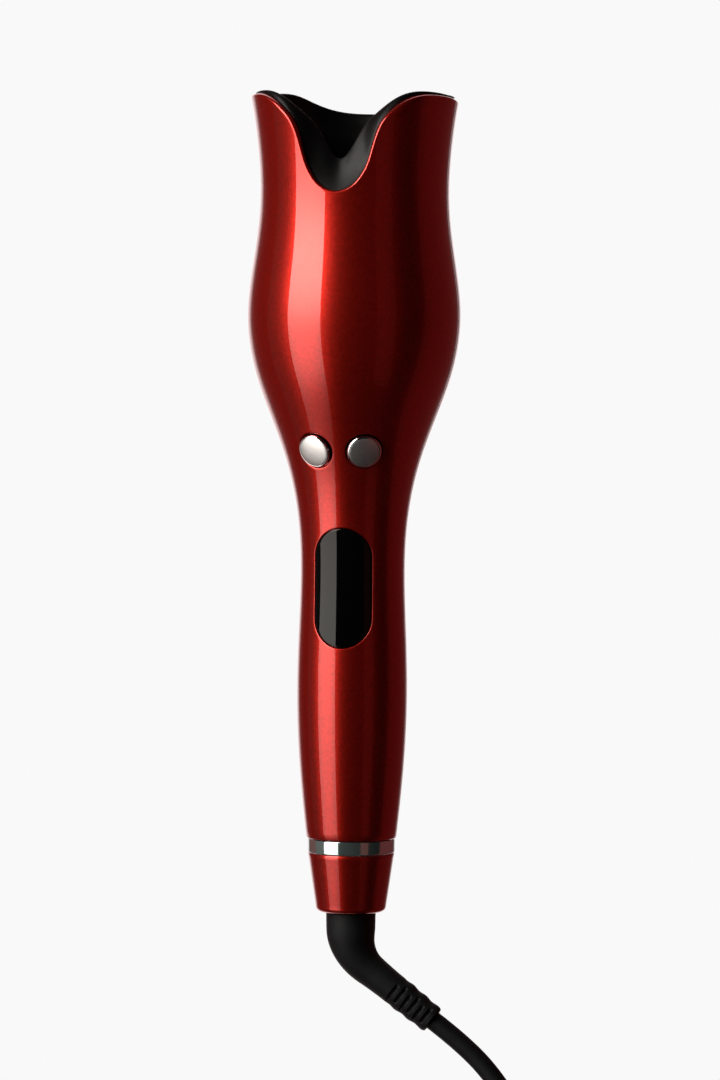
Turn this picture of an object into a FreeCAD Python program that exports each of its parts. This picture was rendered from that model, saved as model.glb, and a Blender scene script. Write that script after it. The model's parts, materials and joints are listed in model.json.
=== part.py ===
import FreeCAD, Part
import math
import os

from FreeCAD import Placement, Rotation, Vector

# Automatic hair curler, in millimetres and degrees.
#
# Every piece is first drawn standing upright: the tail's end face is at height 0, the mouth
# is at the top, the front (notch, buttons, display) faces -Y and the right side is +X.
# At the end everything is laid on its back, as the tool lies on a table: the head towards
# +Y, the front towards +Z, resting on the bulb and on the tail end of the casing.

# --- casing ---
CASING_PROFILE = [(16.15, 26.6), (17.6, 40), (18.95, 56), (19.75, 79), (19.35, 98), (18.65, 121),
                  (19.3, 138), (21.0, 150), (24.6, 164), (31.05, 181.5), (35.25, 194), (37.3, 204),
                  (38.0, 213.5), (37.3, 224), (35.3, 238), (34.0, 249), (33.65, 259), (34.2, 270),
                  (35.7, 283), (37.9, 296)]
WALL = 2.4
SEAM = 0.16
SHELF_DEPTH = 2.8

# --- rim: azimuth from the front, height of the edge ---
RIM_EDGE = [(0, 258.5), (9.4, 260.2), (14, 262), (17.5, 265.6), (20.6, 271.8), (24, 278.8),
            (28, 283.7), (34, 287.4), (42, 290.6), (52, 292.3), (64, 292.4), (80, 291.5),
            (97, 290.1), (115, 289.3), (130, 288.2), (144, 285.3), (158, 283.1), (180, 282.4)]
LINER_OUTER = [(0, 246), (9.4, 248), (14, 252), (17.5, 257), (20.6, 265), (24, 275),
               (28, 282.5), (34, 288), (42, 292), (52, 294), (64, 294.2), (80, 293.4),
               (97, 292.9), (115, 292.8), (130, 291.2), (144, 287.5), (158, 285.3), (180, 285)]
LINER_INNER = [(0, 279), (9.4, 281), (14, 283.5), (17.5, 286), (20.6, 288), (24, 289.5),
               (28, 291), (34, 292), (42, 293), (52, 294), (64, 294.2), (80, 293.4),
               (97, 292.9), (115, 292.8), (130, 291.2), (144, 287.5), (158, 285.3), (180, 285)]
CUT_INNER = 20
CUT_OUTER = 42
CUT_TOP = 310

# --- mouth and chamber ---
LINER_GAP = 0.12
LINER_LOW = 250.2
CHAMBER_RADIUS = 26
SLEEVE_WALL = 1.5
BOWL_LOW = (26, 277)
BOWL_HIGH = (35.2, 295.5)

# --- head mechanism ---
PLATE_LOW = 183
PLATE_HIGH = 186
PLATE_RADIUS = 28.7
DECK_LOW = 199
DECK_HIGH = 202
DECK_RADIUS = 33.4
PILLAR_RADIUS = 2.2
PILLAR_BORE = 0.9
PILLAR_HEAD = 1.9
PILLAR_CIRCLE = 27
PILLAR_AZIMUTHS = (0, 100, 260)
POST_RADIUS = 5
POST_BORE = 3.2
RUNNING_GAP = 0.03
SLIP_GAP = 0.02
BUSH_RADIUS = 7
HUB_RADIUS = 13
HUB_LOW = 190.6
ROTOR_LOW = 203
ROTOR_HIGH = 206
ROTOR_RADIUS = 25.2
FINGER_INNER = 19.5
FINGER_OUTER = 23.5
FINGER_HALF_ANGLE = 13
FINGER_TOP = 258
PRESSURE_ANGLE = 25
BACKLASH = 0.10
DRIVE_MODULE = 0.8
DRIVE_TEETH = 40
IDLER_SMALL_TEETH = 12
MOTOR_MODULE = 0.6
IDLER_LARGE_TEETH = 26
PINION_TEETH = 10
IDLER_DISTANCE = DRIVE_MODULE * (DRIVE_TEETH + IDLER_SMALL_TEETH) / 2
MOTOR_DISTANCE = IDLER_DISTANCE - MOTOR_MODULE * (IDLER_LARGE_TEETH + PINION_TEETH) / 2
MOTOR_RADIUS = 7.9
SHAFT_RADIUS = 1.5

# --- heated barrel ---
BARREL_RADIUS = 12.5
BARREL_BORE = 10.5
BARREL_LOW = 207
BARREL_HIGH = 258
CAP_HIGH = 262

# --- display and buttons ---
LENS_CENTRE = 117.4
LENS_HALF_WIDTH = 10.25
LENS_HALF_STRAIGHT = 11.05
LENS_THICKNESS = 1.9
LENS_GAP = 0.12
BUTTON_AZIMUTH = 20.6
BUTTON_HEIGHT = 166.5
BUTTON_SURFACE = 25.45
BUTTON_TILT = 20
BUTTON_RADIUS = 6.15
BUTTON_HOLE = 6.5
BUTTON_PROUD = 1.6
BUTTON_TRAVEL = 1.2
FLANGE_FLAT = 5.7
FLAT_CUTTER = 60

# --- tail ---
TAIL_PROFILE = [(12.65, 1.85), (13.9, 10.2), (15.5, 21.2)]
TAIL_FACE_RADIUS = 10.85
TAIL_WALL = 2.2
RING_LOW = 21.4
RING_HIGH = 26.4
RING_RADIUS = 15.72
NECK_RADIUS = 5
SOCKET_RADIUS = 9.4
SOCKET_HIGH = 13

# --- cord boot: an elbow that swivels on the tail ---
BOOT_TURN = 52.8
BOOT_CORNER = -15.6
BOOT_BEND = 18
BOOT_LENGTH = 37.9
BOOT_ROOT_RADIUS = 8.95
BOOT_SHOULDER = -0.4

# --- cord, lying on the table: points from the boot's mouth to the coil, then to the plug ---
CORD_RADIUS = 3.5
LEAD_IN = [(30.19, -163.48, 8.46), (39.5, -170.35, 6.8), (50.9, -181.1, 5.3), (61.3, -196.0, 4.2),
           (68.2, -212.7, 3.6), (71.8, -230.2, 3.5), (72.4, -247.8, 3.5)]
LEAD_OUT = [(72.4, -247.8, 10.5), (72.2, -263.3, 10.4), (70.8, -279.3, 9.9), (68.3, -295.3, 9.2),
            (64.8, -310.3, 8.8), (60.6, -324.3, 8.6)]
COIL_CENTRE = (24, -247.8)
COIL_RADII = (34, 41.2, 48.4)
COIL_HEIGHT = 14
TIE_AZIMUTH = 115
PLUG_BOOT_LENGTH = 26
PLUG_BODY_LENGTH = 30
PLUG_HALF_WIDTH = 12
PLUG_HALF_HEIGHT = 8.6
BLADE_SPACING = 12.7
BLADE_LENGTH = 17
BLADE_WIDTH = 6.3
BLADE_THICKNESS = 1.5

UP = Vector(0, 0, 1)
AXIS_FOOT = Vector(0, 0, 0)


# --- basic shapes ---

def radial(radius, azimuth, height):
    """Point at an azimuth that is counted from the front towards the right."""
    angle = math.radians(azimuth)
    return Vector(radius * math.sin(angle), -radius * math.cos(angle), height)


def rod(radius, low, high, centre=(0, 0)):
    """Upright cylinder between two heights."""
    return Part.makeCylinder(radius, high - low, Vector(centre[0], centre[1], low))


def tube(inner, outer, low, high, centre=(0, 0)):
    """Upright tube between two heights."""
    return rod(outer, low, high, centre).cut(rod(inner, low - 1, high + 1, centre))


def block(xs, ys, zs):
    """Box given by its low and high values along each axis."""
    return Part.makeBox(xs[1] - xs[0], ys[1] - ys[0], zs[1] - zs[0], Vector(xs[0], ys[0], zs[0]))


def rod_along(start, direction, radius, length):
    """Cylinder from a point along a direction."""
    return Part.makeCylinder(radius, length, start, direction)


def fused(shapes):
    """One solid from overlapping or touching shapes."""
    whole = shapes[0]
    for shape in shapes[1:]:
        whole = whole.fuse(shape)
    return whole.removeSplitter()


def spun(edges):
    """Solid of revolution of a closed outline in the X-Z plane."""
    return Part.Face(Part.Wire(edges)).revolve(AXIS_FOOT, UP, 360)


def spun_polygon(points):
    """Solid of revolution of a polygon of (radius, height) points."""
    corners = [Vector(radius, 0, height) for radius, height in points]
    return Part.Face(Part.makePolygon(corners + corners[:1])).revolve(AXIS_FOOT, UP, 360)


def arc_sector(inner, outer, low, high, azimuth, half_angle):
    """Part of a tube, centred on an azimuth."""
    ring = tube(inner, outer, low, high)
    reach = 2 * outer
    left = radial(reach, azimuth - half_angle, low - 1)
    right = radial(reach, azimuth + half_angle, low - 1)
    middle = radial(reach, azimuth, low - 1)
    corners = [Vector(0, 0, low - 1), left, middle, right, Vector(0, 0, low - 1)]
    wedge = Part.Face(Part.makePolygon(corners)).extrude(Vector(0, 0, high - low + 2))
    return ring.common(wedge)


def routed_path(points):
    """Straight runs joined by tangent arcs, and the radii of the arcs."""
    edges = []
    radii = []
    last = points[0]
    for before, corner, after in zip(points, points[1:], points[2:]):
        back = before - corner
        ahead = after - corner
        shorter = min(back.Length, ahead.Length)
        half_turn = (math.pi - back.getAngle(ahead)) / 2
        reach = 0.45 * shorter
        radius = reach / math.tan(half_turn)
        back.normalize()
        ahead.normalize()
        start = corner + back * reach
        end = corner + ahead * reach
        inward = back + ahead
        inward.normalize()
        middle = corner + inward * (radius / math.cos(half_turn) - radius)
        edges.append(Part.LineSegment(last, start).toShape())
        edges.append(Part.Arc(start, middle, end).toShape())
        radii.append(radius)
        last = end
    edges.append(Part.LineSegment(last, points[-1]).toShape())
    return Part.Wire(edges), radii


def routed_tube(points, radius):
    """Round tube along a routed path."""
    path, _ = routed_path(points)
    section = Part.Wire(Part.makeCircle(radius, points[0], points[1] - points[0]))
    return path.makePipeShell([section], True, False)


# --- casing ---

def casing_curve(inset):
    """Outline of the casing, moved towards the axis."""
    curve = Part.BSplineCurve()
    curve.interpolate([Vector(radius - inset, 0, height) for radius, height in CASING_PROFILE])
    return curve


def casing_solid(inset):
    """Everything inside the casing's outline, moved towards the axis."""
    curve = casing_curve(inset)
    low = curve.StartPoint
    high = curve.EndPoint
    axis_low = Vector(0, 0, low.z)
    axis_high = Vector(0, 0, high.z)
    edges = [Part.LineSegment(axis_low, low).toShape(), curve.toShape(),
             Part.LineSegment(high, axis_high).toShape(),
             Part.LineSegment(axis_high, axis_low).toShape()]
    return spun(edges)


def closed_curve(radius, heights):
    """Smooth closed curve on a cylinder, the same on the left and on the right."""
    right = [radial(radius, azimuth, height) for azimuth, height in heights]
    left = [Vector(-point.x, point.y, point.z) for point in reversed(right[1:-1])]
    turns = [azimuth for azimuth, _ in heights]
    params = turns + [360 - turn for turn in reversed(turns[:-1])]
    curve = Part.BSplineCurve()
    curve.interpolate(Points=right + left, Parameters=params, PeriodicFlag=True)
    return curve.toShape()


def space_above(inner_heights, outer_heights):
    """Ring-shaped space above a surface ruled between two closed curves."""
    top = [(azimuth, CUT_TOP) for azimuth, _ in inner_heights]
    corners = [closed_curve(CUT_INNER, inner_heights), closed_curve(CUT_OUTER, outer_heights),
               closed_curve(CUT_OUTER, top), closed_curve(CUT_INNER, top)]
    pairs = zip(corners, corners[1:] + corners[:1])
    faces = [Part.makeRuledSurface(first, second) for first, second in pairs]
    shell = Part.Shell(faces)
    shell.sewShape()
    solid = Part.Solid(shell)
    solid.fix(1e-6, 1e-6, 1e-6)
    if solid.Volume < 0:
        solid.reverse()
    return solid


def capsule(grow, half_depth=(-40, 0)):
    """Upright capsule-shaped prism in front of the axis."""
    half = LENS_HALF_WIDTH + grow
    low = LENS_CENTRE - LENS_HALF_STRAIGHT
    high = LENS_CENTRE + LENS_HALF_STRAIGHT
    front = half_depth[0]
    depth = Vector(0, half_depth[1] - front, 0)
    ends = [Vector(half, front, low), Vector(half, front, high),
            Vector(-half, front, high), Vector(-half, front, low)]
    edges = [Part.LineSegment(ends[0], ends[1]).toShape(),
             Part.Arc(ends[1], Vector(0, front, high + half), ends[2]).toShape(),
             Part.LineSegment(ends[2], ends[3]).toShape(),
             Part.Arc(ends[3], Vector(0, front, low - half), ends[0]).toShape()]
    return Part.Face(Part.Wire(edges)).extrude(depth)


def button_frame(side):
    """Point on the casing at a button's centre, and the direction out of it."""
    point = radial(BUTTON_SURFACE, side * BUTTON_AZIMUTH, BUTTON_HEIGHT)
    tilt = math.radians(BUTTON_TILT)
    outward = radial(math.cos(tilt), side * BUTTON_AZIMUTH, -math.sin(tilt))
    return point, outward


def along_button(side, radius, start, end):
    """Cylinder on a button's axis between two depths, counted into the casing."""
    point, outward = button_frame(side)
    return rod_along(point - outward * start, outward * -1, radius, end - start)


SCREW_PLACES = [(13.2, 48), (13.4, 86), (15.6, 150)]
SCREW_SIDES = [(side * x, height) for x, height in SCREW_PLACES for side in (-1, 1)]
SCREW_SEAT = 7.0
SCREW_POST = 3.2
SCREW_SHANK = 1.25


def across(x, height, radius, start, end):
    """Cylinder along Y at a screw's place."""
    return rod_along(Vector(x, start, height), Vector(0, 1, 0), radius, end - start)


def casing_half(front):
    """One half of the casing with its shelves and screw posts, before its openings."""
    inside = casing_solid(WALL - 0.6)
    reach = (-45, -SEAM / 2) if front else (SEAM / 2, 45)
    half_space = block((-45, 45), reach, (20, CUT_TOP))
    pieces = [casing_solid(0).cut(casing_solid(WALL))]
    for low, bore in ((PLATE_LOW - SHELF_DEPTH, 26), (DECK_LOW - SHELF_DEPTH, 31.5)):
        pieces.append(tube(bore, 45, low, low + SHELF_DEPTH).common(inside))
    for x, height in SCREW_SIDES:
        pieces.append(across(x, height, SCREW_POST, -45, 45).common(inside))
    half = fused(pieces).common(half_space)
    half = half.cut(space_above(RIM_EDGE, RIM_EDGE))
    return half.cut(rod(CUT_INNER + 5, LINER_LOW, CUT_TOP))


def front_shell():
    """Front half, with the display opening, the button guides and the screws' pilot holes."""
    inside = casing_solid(WALL - 0.6)
    half = casing_half(True)
    for side in (-1, 1):
        guide = along_button(side, BUTTON_HOLE + 1.3, 0.5, 6.5).common(inside)
        half = half.fuse(guide)
    for side in (-1, 1):
        half = half.cut(along_button(side, BUTTON_HOLE, -8, 12))
    for x, height in SCREW_SIDES:
        half = half.cut(across(x, height, SCREW_SHANK, -8, 1))
    return half.cut(capsule(LENS_GAP)).removeSplitter()


def rear_shell():
    """Rear half, with the screws' clearance holes and head recesses."""
    half = casing_half(False)
    for x, height in SCREW_SIDES:
        half = half.cut(across(x, height, SCREW_SHANK + 0.2, -1, 20))
        half = half.cut(across(x, height, SCREW_POST - 0.75, SCREW_SEAT, 30))
    return half


def shell_screws():
    """Six screws that hold the casing's halves together."""
    screws = []
    for x, height in SCREW_SIDES:
        head = across(x, height, 2.3, SCREW_SEAT, SCREW_SEAT + 1.9)
        for width, depth in ((0.7, 3.0), (3.0, 0.7)):
            slot = block((x - width / 2, x + width / 2), (SCREW_SEAT + 1, SCREW_SEAT + 3),
                         (height - depth / 2, height + depth / 2))
            head = head.cut(slot)
        screws.append(head.fuse(across(x, height, SCREW_SHANK, -6.5, SCREW_SEAT)))
    return Part.makeCompound(screws)


# --- mouth, chamber and heated barrel ---

def mouth_liner():
    """Black liner of the mouth, with a pouring lip in the front notch."""
    body = casing_solid(WALL + LINER_GAP).common(rod(45, LINER_LOW, CUT_TOP))
    body = body.cut(rod(CHAMBER_RADIUS, LINER_LOW - 1, CUT_TOP))
    bowl = spun_polygon([(0, BOWL_LOW[1]), BOWL_LOW, BOWL_HIGH, (BOWL_HIGH[0] + 8, CUT_TOP), (0, CUT_TOP)])
    hollow = tube(CHAMBER_RADIUS + 1.8, 45, LINER_LOW - 1, LINER_LOW + 4.5)
    hollow = hollow.common(casing_solid(WALL + LINER_GAP + 1.6))
    body = body.cut(bowl).cut(hollow)
    return body.cut(space_above(LINER_INNER, LINER_OUTER))


def chamber_sleeve():
    """Heat-proof sleeve around the winding chamber, with a foot on the deck."""
    wall = tube(CHAMBER_RADIUS, CHAMBER_RADIUS + SLEEVE_WALL, DECK_HIGH, LINER_LOW - 0.2)
    foot = tube(CHAMBER_RADIUS, CHAMBER_RADIUS + 5, DECK_HIGH, DECK_HIGH + 1.6)
    return fused([wall, foot])


def heated_barrel():
    """Ceramic-coated barrel, closed below by a floor that sits on the post."""
    wall = tube(BARREL_BORE, BARREL_RADIUS, BARREL_LOW, BARREL_HIGH)
    floor = tube(POST_RADIUS + SLIP_GAP, BARREL_RADIUS, BARREL_LOW, BARREL_LOW + 2)
    return fused([wall, floor])


def barrel_cap():
    """Domed cap on the barrel, held on the post's top."""
    dome = Part.makeSphere(26, Vector(0, 0, CAP_HIGH - 26))
    cap = rod(BARREL_RADIUS, BARREL_HIGH, CAP_HIGH).common(dome)
    plug = tube(POST_RADIUS + SLIP_GAP, BARREL_BORE - 0.2, BARREL_HIGH - 2, BARREL_HIGH)
    return fused([cap, plug])


def heater_element():
    """Ceramic heater sleeve around the post."""
    return tube(POST_RADIUS + 0.3, POST_RADIUS + 2.3, 214, 250)


def heater_clamps():
    """Two aluminium half shells that carry the heat to the barrel."""
    halves = [arc_sector(POST_RADIUS + 2.4, BARREL_BORE - 0.05, 214, 250, azimuth, 84)
              for azimuth in (90, 270)]
    return Part.makeCompound(halves)


def temperature_sensor():
    """Bead of the sensor in the gap between the clamps."""
    return rod(0.6, 228, 236, (0, -(POST_RADIUS + 3.6)))


def thermal_fuse():
    """Thermal fuse in the opposite gap between the clamps."""
    return rod(0.6, 222, 240, (0, POST_RADIUS + 3.6))


def centre_post():
    """Hollow post that carries the barrel and passes the heater's leads."""
    post = rod(POST_RADIUS, PLATE_LOW, BARREL_HIGH)
    collar = rod(POST_RADIUS + 0.8, PLATE_HIGH, HUB_LOW - 0.1)
    return fused([post, collar]).cut(rod(POST_BORE, PLATE_LOW - 1, BARREL_HIGH - 3))


# --- plates ---

def gearbox_plate():
    """Plate that carries the motor, the idler's axle and the post."""
    plate = rod(PLATE_RADIUS, PLATE_LOW, PLATE_HIGH)
    plate = plate.cut(rod(POST_RADIUS + SLIP_GAP, PLATE_LOW - 1, PLATE_HIGH + 1))
    plate = plate.cut(rod(3.6, PLATE_LOW - 1, PLATE_HIGH + 1, (0, MOTOR_DISTANCE)))
    plate = plate.cut(rod(SHAFT_RADIUS, PLATE_LOW - 1, PLATE_HIGH + 1, (0, IDLER_DISTANCE)))
    for side in (-1, 1):
        plate = plate.cut(rod(1, PLATE_LOW - 1, PLATE_HIGH + 1, (side * 5.6, MOTOR_DISTANCE)))
        plate = plate.cut(rod(4, PLATE_LOW - 1, PLATE_HIGH + 1, (side * 15, -10)))
    return plate


def deck_plate():
    """Floor of the winding chamber."""
    deck = rod(DECK_RADIUS, DECK_LOW, DECK_HIGH)
    deck = deck.cut(rod(HUB_RADIUS + 0.4, DECK_LOW - 1, DECK_HIGH + 1))
    deck = deck.cut(at_pillars(rod(PILLAR_BORE, DECK_LOW - 1, DECK_HIGH + 1)))
    deck = deck.cut(at_pillars(rod(PILLAR_HEAD + 0.05, DECK_HIGH - 0.9, DECK_HIGH + 1)))
    return deck.cut(rod(SHAFT_RADIUS, DECK_LOW - 1, DECK_HIGH + 1, (0, IDLER_DISTANCE)))


def at_pillars(shape):
    """Copies of an upright shape at the three pillars."""
    copies = []
    for azimuth in PILLAR_AZIMUTHS:
        copy = shape.copy()
        copy.translate(radial(PILLAR_CIRCLE, azimuth, 0))
        copies.append(copy)
    return Part.makeCompound(copies)


def gearbox_pillars():
    """Three pillars between the plate and the deck."""
    return at_pillars(tube(PILLAR_BORE, PILLAR_RADIUS, PLATE_HIGH, DECK_LOW))


def gearbox_screws():
    """Screws through the deck into the pillars."""
    shank = rod(PILLAR_BORE, DECK_LOW - 8, DECK_HIGH - 0.9)
    screw = fused([shank, rod(PILLAR_HEAD, DECK_HIGH - 0.9, DECK_HIGH)])
    return at_pillars(screw)


# --- gears ---

def gear_outline(module, teeth, phase):
    """Involute outline with a tooth centred on the phase angle, thinned by the backlash."""
    pitch = module * teeth / 2
    pressure = math.radians(PRESSURE_ANGLE)
    base = pitch * math.cos(pressure)
    tip = pitch + module
    root = pitch - 1.25 * module
    half_at_pitch = math.pi / (2 * teeth) - BACKLASH / (4 * pitch)
    base_angle = math.tan(pressure) - pressure
    steps = 5
    flank = []
    for step in range(steps):
        radius = max(base, root) + (tip - max(base, root)) * step / (steps - 1)
        roll = math.acos(base / radius)
        flank.append((radius, half_at_pitch + base_angle - (math.tan(roll) - roll)))
    tooth = [(root, flank[0][1])] + flank
    points = []
    for number in range(teeth):
        middle = math.radians(phase) + 2 * math.pi * number / teeth
        sides = [(radius, middle - half) for radius, half in tooth]
        sides += [(radius, middle + half) for radius, half in reversed(tooth)]
        points += [Vector(radius * math.cos(angle), radius * math.sin(angle), 0)
                   for radius, angle in sides]
    return Part.makePolygon(points + points[:1])


def gear(module, teeth, phase, low, high, centre, bore):
    """Spur gear between two heights."""
    body = Part.Face(gear_outline(module, teeth, phase)).extrude(Vector(0, 0, high - low))
    body.translate(Vector(centre[0], centre[1], low))
    return body.cut(rod(bore, low - 1, high + 1, centre))


def rotor_gear():
    """Large gear on the rotor's hub."""
    return gear(DRIVE_MODULE, DRIVE_TEETH, 90, 192, 197, (0, 0), HUB_RADIUS + SLIP_GAP)


def idler_gear():
    """Two gears in one piece on the idler's axle."""
    centre = (0, IDLER_DISTANCE)
    bore = SHAFT_RADIUS + RUNNING_GAP
    small_phase = -90 + 180 / IDLER_SMALL_TEETH
    large_phase = -90 + 180 / IDLER_LARGE_TEETH
    small = gear(DRIVE_MODULE, IDLER_SMALL_TEETH, small_phase, 189.5, 197.5, centre, bore)
    large = gear(MOTOR_MODULE, IDLER_LARGE_TEETH, large_phase, 186.5, 189.5, centre, bore)
    return fused([small, large])


def motor_pinion():
    """Pinion on the gear motor's shaft."""
    return gear(MOTOR_MODULE, PINION_TEETH, 90, 186.6, 189.6, (0, MOTOR_DISTANCE), SHAFT_RADIUS)


def idler_axle():
    """Axle between the plate and the deck."""
    return rod(SHAFT_RADIUS, PLATE_LOW, DECK_HIGH, (0, IDLER_DISTANCE))


# --- rotor ---

def winding_rotor():
    """Turntable with the curved finger that winds the hair around the barrel."""
    table = tube(BUSH_RADIUS, ROTOR_RADIUS, ROTOR_LOW, ROTOR_HIGH)
    hub = tube(BUSH_RADIUS, HUB_RADIUS, HUB_LOW, ROTOR_LOW)
    finger = arc_sector(FINGER_INNER, FINGER_OUTER, ROTOR_HIGH, FINGER_TOP, 180, FINGER_HALF_ANGLE)
    tips = [edge for edge in finger.Edges if edge.BoundBox.ZMin > FINGER_TOP - 0.1]
    finger = finger.makeFillet(1.2, tips)
    return fused([table, hub, finger])


def rotor_bush():
    """Plain bearing between the rotor and the post."""
    return tube(POST_RADIUS + RUNNING_GAP, BUSH_RADIUS, HUB_LOW, ROTOR_HIGH - 0.2)


# --- motor ---

def motor_gearhead():
    """Reduction gearhead under the plate."""
    head = rod(MOTOR_RADIUS + 0.1, PLATE_LOW - 17, PLATE_LOW, (0, MOTOR_DISTANCE))
    for side in (-1, 1):
        head = head.cut(rod(0.8, PLATE_LOW - 4, PLATE_LOW + 1, (side * 5.6, MOTOR_DISTANCE)))
    return head.cut(rod(SHAFT_RADIUS + 0.05, PLATE_LOW - 9, PLATE_LOW + 1, (0, MOTOR_DISTANCE)))


def motor():
    """Brushed motor with two terminals."""
    low = PLATE_LOW - 35
    can = rod(MOTOR_RADIUS, low, PLATE_LOW - 17, (0, MOTOR_DISTANCE))
    boss = rod(2.5, low - 1.2, low, (0, MOTOR_DISTANCE))
    tabs = [block((side * 5 - 0.3, side * 5 + 0.3), (MOTOR_DISTANCE - 1, MOTOR_DISTANCE + 1),
                  (low - 3, low)) for side in (-1, 1)]
    return fused([can, boss] + tabs)


def motor_shaft():
    """Output shaft of the gearhead."""
    return rod(SHAFT_RADIUS, PLATE_LOW - 8.5, 190, (0, MOTOR_DISTANCE))


def motor_screws():
    """Two screws through the plate into the gearhead."""
    screws = []
    for side in (-1, 1):
        centre = (side * 5.6, MOTOR_DISTANCE)
        screws.append(fused([rod(0.8, PLATE_LOW - 3.5, PLATE_HIGH + 0.1, centre),
                             rod(1.3, PLATE_HIGH, PLATE_HIGH + 0.4, centre)]))
    return Part.makeCompound(screws)


# --- electronics ---

BOARD_HALF = 9.5
BOARD_FACE = -4.8
BOARD_LOW = 38
BOARD_HIGH = 140


def main_board():
    """Power and control board along the handle."""
    board = block((-BOARD_HALF, BOARD_HALF), (BOARD_FACE - 1.6, BOARD_FACE), (BOARD_LOW, BOARD_HIGH))
    for x in (-7.5, 7.5):
        for height in (BOARD_LOW + 4, BOARD_HIGH - 4):
            board = board.cut(across(x, height, 1.1, -10, 0))
    return board


def board_screws():
    """Four screws that hold the board."""
    screws = []
    for x in (-7.5, 7.5):
        for height in (BOARD_LOW + 4, BOARD_HIGH - 4):
            shank = across(x, height, 1.05, BOARD_FACE - 5, BOARD_FACE)
            screws.append(shank.fuse(across(x, height, 1.9, BOARD_FACE, BOARD_FACE + 1.3)))
    return Part.makeCompound(screws)


def transformer():
    """Switching transformer: a core around its winding."""
    core = block((-7.5, 7.5), (BOARD_FACE, BOARD_FACE + 12), (50, 66))
    window = block((-6, 6), (BOARD_FACE + 2, BOARD_FACE + 13), (53, 63))
    coil = block((-5.5, 5.5), (BOARD_FACE + 2, BOARD_FACE + 11), (53, 63))
    return fused([core.cut(window), coil])


def capacitor():
    """Smoothing capacitor standing on the board's rear side."""
    return rod_along(Vector(0, BOARD_FACE, 76), Vector(0, 1, 0), 6.2, 14)


def power_relay():
    """Relay of the heater circuit."""
    return block((-7.5, 7.5), (BOARD_FACE, BOARD_FACE + 11), (87, 103))


def heater_switch():
    """Power switch of the heater on its small heat sink."""
    package = block((-5, 5), (BOARD_FACE, BOARD_FACE + 4.5), (110, 125))
    sink = block((-7, 7), (BOARD_FACE + 4.5, BOARD_FACE + 6), (107, 128))
    return fused([package, sink])


def controller_chip():
    """Controller on the board's front side."""
    return block((-4, 4), (BOARD_FACE - 3.2, BOARD_FACE - 1.6), (62, 70))


def display_lens():
    """Curved glossy window, flush with the casing."""
    return casing_solid(0).cut(casing_solid(LENS_THICKNESS)).common(capsule(0))


def display_gasket():
    """Foam frame behind the window's edge."""
    band = casing_solid(LENS_THICKNESS).cut(casing_solid(LENS_THICKNESS + 0.8))
    return band.common(capsule(-0.1)).cut(capsule(-1.8, (-41, 1)))


def display_module():
    """Segment display behind the window."""
    return block((-7.4, 7.4), (-14.4, -12.5), (99, 133))


def display_board():
    """Board of the display."""
    return block((-8.4, 8.4), (-12.5, -11.3), (96, 136))


def at_buttons(build):
    """The same piece behind both buttons."""
    return Part.makeCompound([build(side) for side in (-1, 1)])


def switch_box(side, half_width, half_height, start, end):
    """Box on a button's axis between two depths."""
    point, outward = button_frame(side)
    sideways = outward.cross(UP)
    sideways.normalize()
    upward = sideways.cross(outward)
    corner = point - outward * end - sideways * half_width - upward * half_height
    edges = [Vector(0, 0, 0), sideways * (2 * half_width),
             sideways * (2 * half_width) + upward * (2 * half_height), upward * (2 * half_height)]
    corners = [corner + edge for edge in edges]
    return Part.Face(Part.makePolygon(corners + corners[:1])).extrude(outward * (end - start))


def button_boards():
    """Small boards that carry the switches."""
    return at_buttons(lambda side: switch_box(side, 3.5, 5, 13.4, 14.4))


def tact_switches():
    """Push switches with domed plungers, under the buttons."""
    return at_buttons(lambda side: fused([switch_box(side, 3, 3, 10.6, 13.4),
                                          along_button(side, 1.4, 10.1, 10.6)]))


def button(side):
    """Button cap with its slightly domed face, its retaining flange and its stem."""
    point, outward = button_frame(side)
    cap = along_button(side, BUTTON_RADIUS, -BUTTON_PROUD, 6.0)
    rim = [edge for edge in cap.Edges
           if (edge.BoundBox.Center - point).dot(outward) > BUTTON_PROUD - 0.1 and len(edge.Vertexes) == 1]
    cap = cap.makeChamfer(0.5, rim)
    waist = along_button(side, BUTTON_RADIUS - 0.6, 6.0, 6.9)
    flange = along_button(side, BUTTON_HOLE + 0.7, 6.9, 7.7)
    sideways = UP.cross(outward)
    sideways.normalize()
    middle = point - sideways * (side * (FLANGE_FLAT + FLAT_CUTTER))
    flange = flange.cut(rod_along(middle - outward * 9, outward, FLAT_CUTTER, 3))
    stem = along_button(side, 1.5, 7.7, 8.8)
    return fused([cap, waist, flange, stem])


def left_button():
    """Button on the user's left."""
    return button(-1)


def right_button():
    """Button on the user's right."""
    return button(1)


# --- leads inside ---

def lead_pair(points, gap):
    """Two thin leads side by side along one route."""
    shift = Vector(gap, 0, 0)
    first = [Vector(*point) for point in points]
    second = [point + shift for point in first]
    return Part.makeCompound([routed_tube(first, 0.6), routed_tube(second, 0.6)])


def heater_leads():
    """Leads from the board through the post to the heater."""
    route = [(-1, -2, 130), (-1, -1.5, 150), (-0.9, -0.4, 168), (-0.8, 0, 185), (-0.8, 0.2, 251)]
    return lead_pair(route, 1.7)


def motor_leads():
    """Leads from the board to the motor."""
    route = [(-4.5, -3, 128), (-4.5, 1.5, 134), (-4.5, 6.5, 138.5), (-4.6, MOTOR_DISTANCE, 144.6)]
    return lead_pair(route, 9.1)


def mains_leads():
    """Leads from the brushes to the board."""
    return lead_pair([(-3, 6.5, 22.2), (-3, 5.5, 27), (-3, 1.5, 33), (-3, -3, 38), (-3, -4, 44)], 6)


# --- tail ---

def tail_outline(inset):
    """Outline of the tail cap as (radius, height) points."""
    return [(radius - inset, height) for radius, height in TAIL_PROFILE]


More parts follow.
